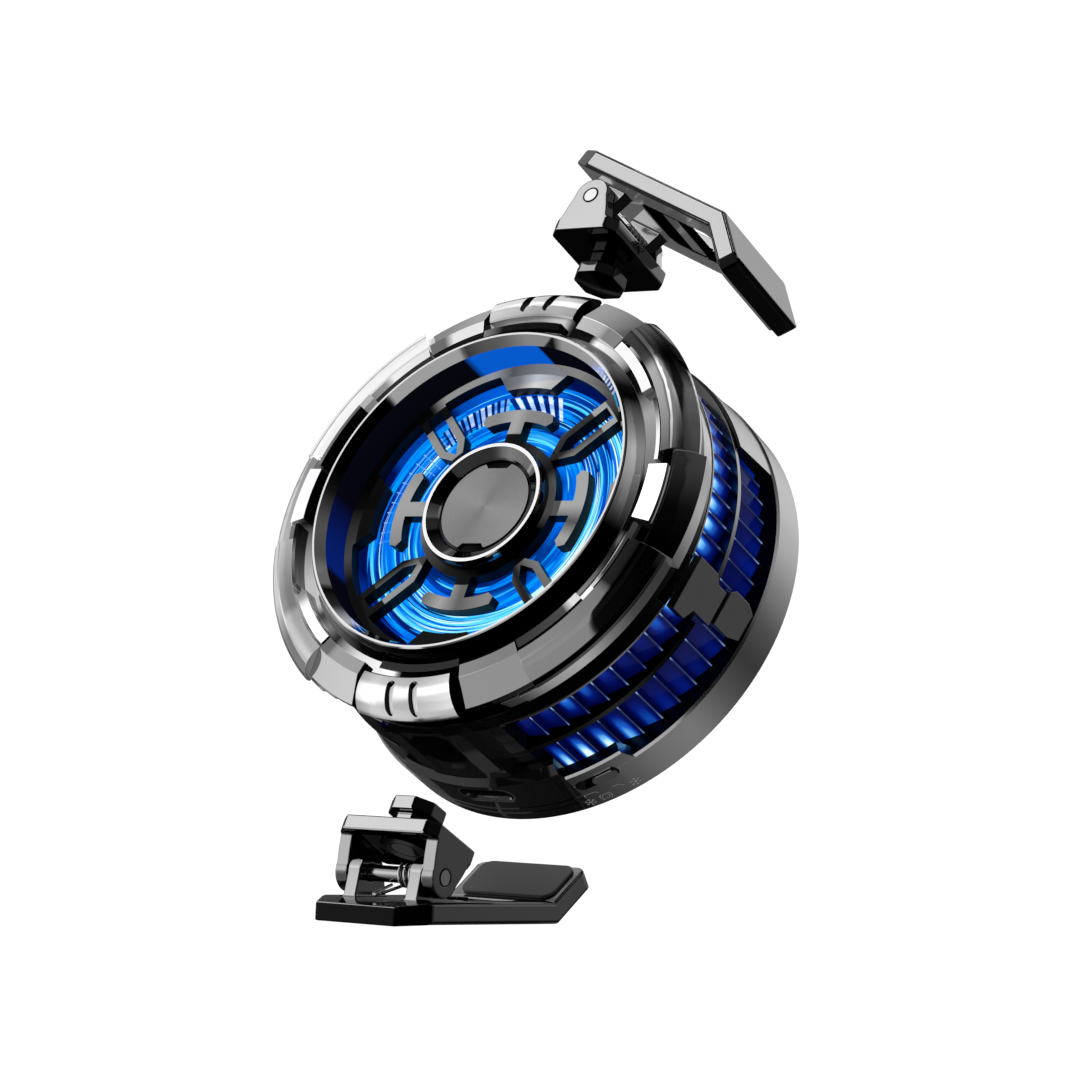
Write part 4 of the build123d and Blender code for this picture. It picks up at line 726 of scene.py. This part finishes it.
# Nodes whose edges are broken by a small round, with its width in millimetres
edge_rounds = {
    "base_housing": 0.12, "port_panel": 0.12, "bridge_blocks": 0.12, "bottom_socket": 0.1,
    "top_socket": 0.1, "bevel_bands": 0.08, "bottom_right_shoulder_panel": 0.1,
    "top_right_shoulder_panel": 0.1, "top_left_shoulder_panel": 0.1, "bottom_left_shoulder_panel": 0.1,
    "side_armour": 0.08, "socket_lugs": 0.12, "rim_segments": 0.1, "deck_trims": 0.06, "deck_blocks": 0.08,
    "front_grille": 0.08, "middle_rib": 0.06, "hub_ring": 0.06, "hub_badge": 0.06, "bottom_clip_base": 0.3,
    "bottom_arm": 0.28, "bottom_plug": 0.25, "bottom_clip_pad": 0.18, "top_clip_base": 0.3, "top_arm": 0.26,
    "top_plug": 0.25, "top_clip_pad": 0.18,
}
wide_round = 0.2
merge_distance = 0.0005 * MM
# In degrees: flatter edges go, sharper ones get a round, and faces closer than the last are shaded as one
flat_angle, sharp_angle, shaded_angle = 0.6, 24, 30
body_of = {node: body for body, nodes in frame["record"]["behaviour"]["bodies"].items() for node in nodes}
slot_of = {part["node"]: part["material_slot"] for part in frame["record"]["subparts"]}


def material_for(node):
    """The node's own material, or its slot's."""
    return own_materials.get(node) or materials[slot_of[node]]


def dress(node):
    """Gives a CAD node its material."""
    slots = frame["nodes"][node].material_slots
    if not slots:
        frame["nodes"][node].data.materials.append(material_for(node))
    for slot in slots:
        slot.material = material_for(node)


def add_mesh(mesh, name, node_body, material, replaced=()):
    """Adds a mesh as a piece that rides on a body."""
    piece = bpy.data.objects.new(name, mesh)
    bpy.context.scene.collection.objects.link(piece)
    mesh.materials.clear()
    mesh.materials.append(material)
    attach(piece, node_body)
    if replaced:
        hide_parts(*replaced)


def flat_normals(mesh, strips):
    """Keeps flat faces flat, and turns the shading only along the rounded edges, which are the strips."""
    normals = [face.normal.copy() for face in mesh.polygons]
    weights = [face.area for face in mesh.polygons]
    around = [[] for _ in mesh.vertices]
    for face in mesh.polygons:
        for vertex in face.vertices:
            around[vertex].append(face.index)
    corners = [Vector((0, 0, 1))] * len(mesh.loops)
    limit = cos(radians(shaded_angle))
    for face in mesh.polygons:
        for loop in face.loop_indices:
            near = around[mesh.loops[loop].vertex_index]
            flats = [other for other in near if other not in strips]
            lead = normals[face.index]
            if face.index in strips and flats:
                lead = normals[max(flats, key=lambda other: normals[other].dot(lead))]
            group = [other for other in (flats or near) if normals[other].dot(lead) > limit]
            total = sum((normals[other] * weights[other] for other in group), Vector())
            corners[loop] = total.normalized() if total.length > 0 else lead
    mesh.normals_split_custom_set(corners)


def keep_inside(work, mesh):
    """Moves points that a round pushed out of a mesh's own box back to its side."""
    points = [vertex.co for vertex in mesh.vertices]
    low = [min(point[axis] for point in points) for axis in range(3)]
    high = [max(point[axis] for point in points) for axis in range(3)]
    for vertex in work.verts:
        vertex.co = [min(max(vertex.co[axis], low[axis]), high[axis]) for axis in range(3)]


def rounded(node, width):
    """A copy of a CAD node with its edges rounded, shown in the node's place. Wide rounds aren't held back by
    the short edges of arcs."""
    work = bmesh.new()
    work.from_mesh(frame["nodes"][node].data)
    bmesh.ops.remove_doubles(work, verts=work.verts, dist=merge_distance)
    bmesh.ops.dissolve_limit(work, angle_limit=radians(flat_angle), verts=work.verts, edges=work.edges)
    sharp = [edge for edge in work.edges
             if len(edge.link_faces) == 2 and edge.calc_face_angle(0) > radians(sharp_angle)]
    made = bmesh.ops.bevel(work, geom=sharp, offset=width * MM, segments=2, profile=0.6, affect="EDGES",
                           clamp_overlap=width < wide_round, offset_type="OFFSET")
    keep_inside(work, frame["nodes"][node].data)
    work.faces.index_update()
    strips = {face.index for face in made["faces"]}
    mesh = bpy.data.meshes.new(f"{node}_shape")
    work.to_mesh(mesh)
    work.free()
    mesh.shade_smooth()
    flat_normals(mesh, strips)
    add_mesh(mesh, f"{node}_finished", body_of[node], material_for(node), (node,))


def around_axis(radius, angle, height):
    """A place by its radius, angle and height, in millimetres and degrees."""
    turn = radians(angle)
    return Vector((MM * radius * cos(turn), MM * radius * sin(turn), MM * height))


def mesh_from(work, name, facing=""):
    """Turns finished faces into a mesh. An open sheet is turned to face up, or out from the middle."""
    bmesh.ops.recalc_face_normals(work, faces=work.faces)
    for face in work.faces:
        way = face.calc_center_median() if facing == "out" else Vector((0, 0, 1))
        if facing and face.normal.dot(way) < 0:
            face.normal_flip()
    mesh = bpy.data.meshes.new(name)
    work.to_mesh(mesh)
    work.free()
    return mesh


def ribbon(work, pairs):
    """Adds a strip of faces through pairs of points."""
    last = None
    for pair in pairs:
        here = [work.verts.new(point) for point in pair]
        if last:
            work.faces.new((last[0], last[1], here[1], here[0]))
        last = here


def arc_strip(work, radius, start, extent, width, height, drift=0.0):
    """Adds a flat arc that tapers to both ends, in millimetres and degrees."""
    least_steps, degrees_per_step, least_share, taper = 5, 4, 0.12, 0.6
    steps = max(least_steps, round(extent / degrees_per_step))
    pairs = []
    for step in range(steps + 1):
        share = step / steps
        half = 0.5 * width * max(least_share, sin(pi * share) ** taper)
        middle = radius + drift * share
        pairs.append([around_axis(edge, start + extent * share, height)
                      for edge in (middle - half, middle + half)])
    ribbon(work, pairs)


def light_piece(name, work, material):
    """Turns finished sheets of light into a piece that spins with the fan."""
    add_mesh(mesh_from(work, name, "up"), name, "fan", material)


def fan_haze():
    """A flat ring of glow under the streaks."""
    rings, sectors = 6, 120
    inner, outer = blade_radii
    gap = (outer - inner) / rings
    work = bmesh.new()
    for ring in range(rings):
        for sector in range(sectors):
            corners = ((ring, sector), (ring + 1, sector), (ring + 1, sector + 1), (ring, sector + 1))
            work.faces.new([
                work.verts.new(around_axis(inner + r * gap, 360 / sectors * s, haze_height))
                for r, s in corners])
    bmesh.ops.remove_doubles(work, verts=work.verts, dist=merge_distance)
    light_piece("fan_haze", work, haze_glow("fan_haze_glow"))


def fan_streaks():
    """The light that the spinning blades draw in circles, brightest on the right and below. The layers lie
    above each other, and most streaks of the upper two keep to the bright sectors."""
    draw = random.Random(41)
    # Name, count, widths, extents in degrees, dim and bright colour, strength
    layers = (
        ("deep", 26, (0.3, 1.1), (24, 60), (0.0, 0.006, 0.12), (0.0, 0.05, 0.5), 0.9),
        ("azure", 32, (0.3, 0.9), (30, 90), (0.0, 0.16, 0.85), (0.0, 0.36, 1.0), 1.0),
        ("cyan", 52, (0.1, 0.5), (24, 90), (0.02, 0.42, 1.0), (0.12, 0.75, 1.0), 1.05),
        ("white", 40, (0.06, 0.3), (24, 70), (0.25, 0.85, 1.0), (0.8, 1.0, 1.0), 1.15),
    )
    # Sectors: first and last angle, inner and outer radius, and how often a bright one is drawn
    everywhere = (-180, 180, 10.8, 19.7)
    bright = {
        (-40, 34, 13.5, 19.4): 5,
        (-158, -60, 12.8, 18.6): 6,
        (-60, -40, 14, 19): 2,
        (34, 70, 15, 19): 1,
        (150, 200, 11, 17): 2,
    }
    for level, (name, count, widths, extents, low, high, strength) in enumerate(layers):
        work = bmesh.new()
        for _ in range(count):
            sector = draw.choices(tuple(bright), weights=tuple(bright.values()))[0]
            if level < 2 or draw.random() < 0.3:
                sector = everywhere
            from_angle, to_angle, inner, outer = sector
            extent = draw.uniform(*extents)
            start = draw.uniform(from_angle, to_angle) - extent / 2
            arc_strip(work, draw.uniform(inner, outer), start, extent, draw.uniform(*widths),
                      haze_height + streak_gap * (level + 1), draw.uniform(-0.5, 0.5))
        light_piece(f"fan_streaks_{name}", work, swirl_glow(f"fan_streaks_{name}_glow", low, high, strength))


def fan_fins():
    """The lit fins that show between the streaks: keys at the top, leaning bars right of them, and a fine
    grid on the left."""
    draw = random.Random(9)
    colours = {
        "white": ((0.3, 0.5, 1.0), (0.8, 0.88, 1.0)),
        "pale": ((0.03, 0.25, 0.9), (0.2, 0.5, 1.0)),
        "navy": ((0.0, 0.004, 0.05), (0.0, 0.02, 0.22)),
    }
    works = {tone: bmesh.new() for tone in colours}
    keys_start, keys_end, keys_inner, keys_outer = 103.0, 136, 15.9, 18.6
    leaning_start, leaning_gap, lean = 76, 5.6, 8.0
    grid_start, grid_gap, grid_extent, grid_rings = 134, 5.0, 64, (14.6, 16.2, 17.6)

    def bar(tone, angle, wide, near, far, lean=0.0, lift=0.0):
        """A bar between two radii that is some degrees wide and leans some degrees."""
        corners = ((near, -lean), (far, 0), (far, wide), (near, wide - lean))
        works[tone].faces.new([
            works[tone].verts.new(around_axis(radius, angle + turn, fin_height + lift))
            for radius, turn in corners])

    angle = keys_start
    while angle < keys_end:
        wide = draw.uniform(1.2, 2.2)
        tone = draw.choice(("white", "pale", "pale"))
        bar(tone, angle, wide, keys_inner + draw.uniform(-0.5, 0.5), keys_outer)
        angle += wide
        wide = draw.uniform(1.0, 1.8)
        bar("navy", angle, wide, keys_inner - 0.4, keys_outer + 0.1)
        angle += wide
    for step in range(5):
        angle = leaning_start + leaning_gap * step
        bar("white", angle, 2.4, 15.4, 18.4, lean, 0.02)
        bar("navy", angle + 2.6, 2.6, 15.2, 18.5, lean, 0.01)
    for step in range(12):
        bar("pale", grid_start + 4 + grid_gap * step, 0.5, 13.8, 18.1, lift=0.01)
    for radius in grid_rings:
        arc_strip(works["pale"], radius, grid_start, grid_extent, 0.14, fin_height + 0.02)
    for tone, work in works.items():
        light_piece(f"fan_fins_{tone}", work, swirl_glow(f"fan_fins_{tone}_glow", *colours[tone], 1.05))


def slot_floors():
    """Floors inside the slots of the two lugs, which fall away outwards and are pale with painted light."""
    half_length, half_width, steps = 1.9 * MM, 0.6 * MM, 12
    tip, narrowing, least_share = 1.98 * MM, 2.6, 0.3
    floor_top, fall_radius, fall_slope, fall_curve = 29.05 * MM, 28.2 * MM, 0.18, 165
    work = bmesh.new()
    for angle in (side + offset for side in (-90, 90) for offset in (-lug_slot_angle, lug_slot_angle)):
        way = Vector((cos(radians(angle)), sin(radians(angle)), 0))
        across = Vector((-way.y, way.x, 0))
        pairs = []
        for step in range(steps + 1):
            along = half_length * (2 * step / steps - 1)
            half = half_width * min(1.0, max(least_share, (1 - abs(along) / tip) * narrowing))
            radius = lug_slot_circle + along
            fall = max(0.0, radius - fall_radius)
            middle = way * radius + Vector((0, 0, floor_top - fall * fall_slope - fall**2 * fall_curve))
            pairs.append((middle - across * half, middle + across * half))
        ribbon(work, pairs)
    mesh = mesh_from(work, "lug_slot_floors", "up")
    mesh.shade_smooth()
    add_mesh(mesh, "lug_slot_floors", "cooler", slot_floor_glow("slot_floor_glow"))


def pin_rims():
    """The dark joint round each end of the two hinge pins."""
    thickness, steps, sides = 0.085 * MM, 40, 8
    material = metal("pin_rim_black", 0.02, 0.2)
    across = Vector((0, 1, 0))
    pins = ("bottom", bottom_pin, Vector((1, 0, 0))), ("top", top_pin, Vector((0, 0, 1)))
    for place, middle, axis in pins:
        work = bmesh.new()
        for end in (-1, 1):
            rings = []
            for step in range(steps):
                turn = 2 * pi * step / steps
                out = across * cos(turn) + axis.cross(across) * sin(turn)
                leans = [2 * pi * side / sides for side in range(sides)]
                rings.append([
                    work.verts.new(middle + axis * (end * pin_half_length + thickness * sin(lean))
                                   + out * (pin_radius + thickness * cos(lean))) for lean in leans])
            for here, there in zip(rings, rings[1:] + rings[:1]):
                for side in range(sides):
                    after = (side + 1) % sides
                    work.faces.new((here[side], here[after], there[after], there[side]))
        mesh = mesh_from(work, f"{place}_pin_rims")
        mesh.shade_smooth()
        add_mesh(mesh, f"{place}_pin_rims", f"{place}_base_body", material)


def pictograms():
    """Two snowflakes and a ring beside the switch, with their lead lines, printed in grey. Places on the base
    are angles in degrees and heights in millimetres."""
    print_radius = base_radius / MM + 0.03
    degree = base_radius / MM * radians(1)
    knee_share, branch_share, branch_lean = 0.6, 0.34, 0.8
    work = bmesh.new()

    def offset(place, distance, turn):
        """The place at a distance in millimetres."""
        return place[0] + distance * cos(turn) / degree, place[1] + distance * sin(turn)

    def line(start, end, width=0.1):
        way = Vector(((end[0] - start[0]) * degree, end[1] - start[1]))
        aside = Vector((-way.y, way.x)).normalized() * width / 2
        corners = [(point[0] + sign * aside.x / degree, point[1] + sign * aside.y)
                   for point, sign in ((start, 1), (start, -1), (end, -1), (end, 1))]
        work.faces.new([work.verts.new(around_axis(print_radius, *corner)) for corner in corners])

    def star(place, radius):
        for arm in range(6):
            turn = radians(60 * arm + 30)
            line(place, offset(place, radius, turn))
            knee = offset(place, knee_share * radius, turn)
            for lean in (-branch_lean, branch_lean):
                line(knee, offset(knee, branch_share * radius, turn + lean), 0.08)

    def arc(place, radius, start=0, end=360):
        steps = 20
        points = [offset(place, radius, radians(start + (end - start) * i / steps)) for i in range(steps + 1)]
        for here, there in zip(points, points[1:]):
            line(here, there, 0.09)

    ring_place = (-63.3, 1.7)
    star((-55.4, 1.75), 0.85)
    star((-67.4, 1.6), 0.8)
    arc(ring_place, 0.5)
    arc(ring_place, 0.82, -60, 60)
    arc(ring_place, 0.82, 120, 240)
    right_lead = ((-57.9, 2.2), (-58.9, 2.9), (-60.4, 2.9))
    left_lead = ((-67.4, 2.9), (-67.4, 3.4), (-64.6, 3.4), (-64.0, 3.0))
    for lead in (right_lead, left_lead):
        for start, end in zip(lead, lead[1:]):
            line(start, end)
    add_mesh(mesh_from(work, "switch_pictograms", "out"), "switch_pictograms", "cooler",
             matte("grey_print", 0.2, 0.6))


for node in frame["nodes"]:
    dress(node)
for node, width in edge_rounds.items():
    rounded(node, width)
fan_haze()
fan_streaks()
fan_fins()
slot_floors()
pin_rims()
pictograms()


def studio(tree):
    """The soft boxes as brightness by direction, in bands from the zenith down."""
    x, y, z = tree.split(tree.node("TexCoord").outputs["Generated"])
    share = tree.scaled(tree.math("ARCTAN2", y, x), 1 / (2 * pi), 0.5)
    height = tree.times(tree.math("ARCSINE", z), 180 / pi)
    zenith = tree.turn_ramp(share, [(-180, 1.0), (-42, 1.0), (-38, 0.02), (120, 0.0), (138, 1.0), (180, 1.0)])
    upper = tree.turn_ramp(share, [
        (-180, 2.0), (-152, 1.8), (-144, 0.95), (-42, 0.9), (-39, 0.01), (20, 0.0), (45, 0.06), (62, 0.14),
        (80, 0.35), (104, 0.6), (114, 0.7), (116, 2.5), (127, 2.5), (129, 0.3), (138, 0.95), (152, 1.0),
        (170, 1.5), (180, 2.0)])
    middle = tree.turn_ramp(share, [
        (-180, 1.6), (-160, 2.0), (-148, 1.6), (-140, 0.7), (-112, 0.8), (-100, 0.9), (-42, 0.9), (-39, 0.01),
        (5, 0.0), (22, 0.25), (40, 0.6), (56, 0.35), (70, 0.15), (76, 0.01), (90, 0.01), (98, 0.12),
        (113, 0.5), (115, 2.2), (130, 2.2), (133, 0.6), (150, 1.1), (165, 1.4), (180, 1.6)])
    horizon = tree.turn_ramp(share, [
        (-180, 0.45), (-150, 0.6), (-130, 0.9), (-112, 0.6), (-98, 0.25), (-78, 0.0), (-6, 0.0), (10, 0.12),
        (20, 0.6), (45, 0.6), (60, 0.25), (80, 0.02), (92, 0.05), (104, 0.4), (114, 1.0), (130, 1.0),
        (142, 0.45), (180, 0.45)])
    low = tree.turn_ramp(share, [
        (-180, 0.02), (-120, 0.03), (-100, 0.06), (-80, 0.16), (-60, 0.36), (-40, 0.46), (-20, 0.2),
        (0, 0.08), (20, 0.18), (40, 0.5), (60, 0.9), (80, 1.05), (100, 0.95), (120, 0.6), (134, 0.08),
        (180, 0.1)])
    under = tree.turn_ramp(share, [
        (-180, 0.01), (-20, 0.02), (40, 0.08), (80, 0.4), (120, 0.05), (180, 0.01)])
    nadir = tree.turn_ramp(share, [
        (-180, 0.02), (-140, 0.02), (-126, 0.3), (-40, 0.3), (-15, 0.05), (180, 0.02)])
    light = horizon
    for start, end, band in ((11, 15, middle), (38, 42, upper), (66, 70, zenith),
                             (-14, -26, low), (-52, -60, under), (-68, -74, nadir)):
        light = tree.mix(tree.fade(height, start, end), light, band)
    return light


# World: a dark studio with soft boxes, seen only in reflections, and plain white elsewhere
world = bpy.data.worlds.new("studio")
bpy.context.scene.world = world
world.use_nodes = True
sky = Tree(world.node_tree)
chosen = sky.node("MixShader")
sky.feed(chosen.inputs[0], sky.node("LightPath").outputs["Is Glossy Ray"])
for number, colour in ((1, rgb(1.0)), (2, studio(sky))):
    background = sky.node("Background")
    sky.feed(background.inputs["Color"], colour)
    sky.feed(chosen.inputs[number], background.outputs[0])
sky.feed(sky.node("OutputWorld").inputs[0], chosen.outputs[0])

# Floor: plain white paper, well below, because the object floats in the photograph
floor_mesh = bpy.data.meshes.new("floor")
floor_work = bmesh.new()
bmesh.ops.create_grid(floor_work, x_segments=8, y_segments=8, size=4.0)
bmesh.ops.translate(floor_work, verts=floor_work.verts, vec=(0, 0, -floor_drop))
floor_work.to_mesh(floor_mesh)
floor_work.free()
floor = bpy.data.objects.new("floor", floor_mesh)
bpy.context.scene.collection.objects.link(floor)
floor_mesh.materials.append(pale_floor())
floor.visible_glossy = False

# Camera
azimuth = radians(camera_azimuth)
elevation = radians(camera_elevation)
roll = radians(camera_roll)
back = Vector((cos(elevation) * cos(azimuth), cos(elevation) * sin(azimuth), sin(elevation)))
level_right = Vector((-sin(azimuth), cos(azimuth), 0))
level_up = back.cross(level_right)
right = level_right * cos(roll) - level_up * sin(roll)
up = back.cross(right)
camera = bpy.data.objects.new("camera", bpy.data.cameras.new("camera"))
bpy.context.scene.collection.objects.link(camera)
camera.matrix_world = Matrix.Translation(camera_target + back * camera_distance) @ Matrix(
    (right, up, back)).transposed().to_4x4()
camera.data.lens = camera_lens
camera.data.sensor_width = 36
camera.data.sensor_fit = "HORIZONTAL"
camera.data.clip_start = 0.01
bpy.context.scene.camera = camera
bpy.context.scene.view_settings.view_transform = "Standard"
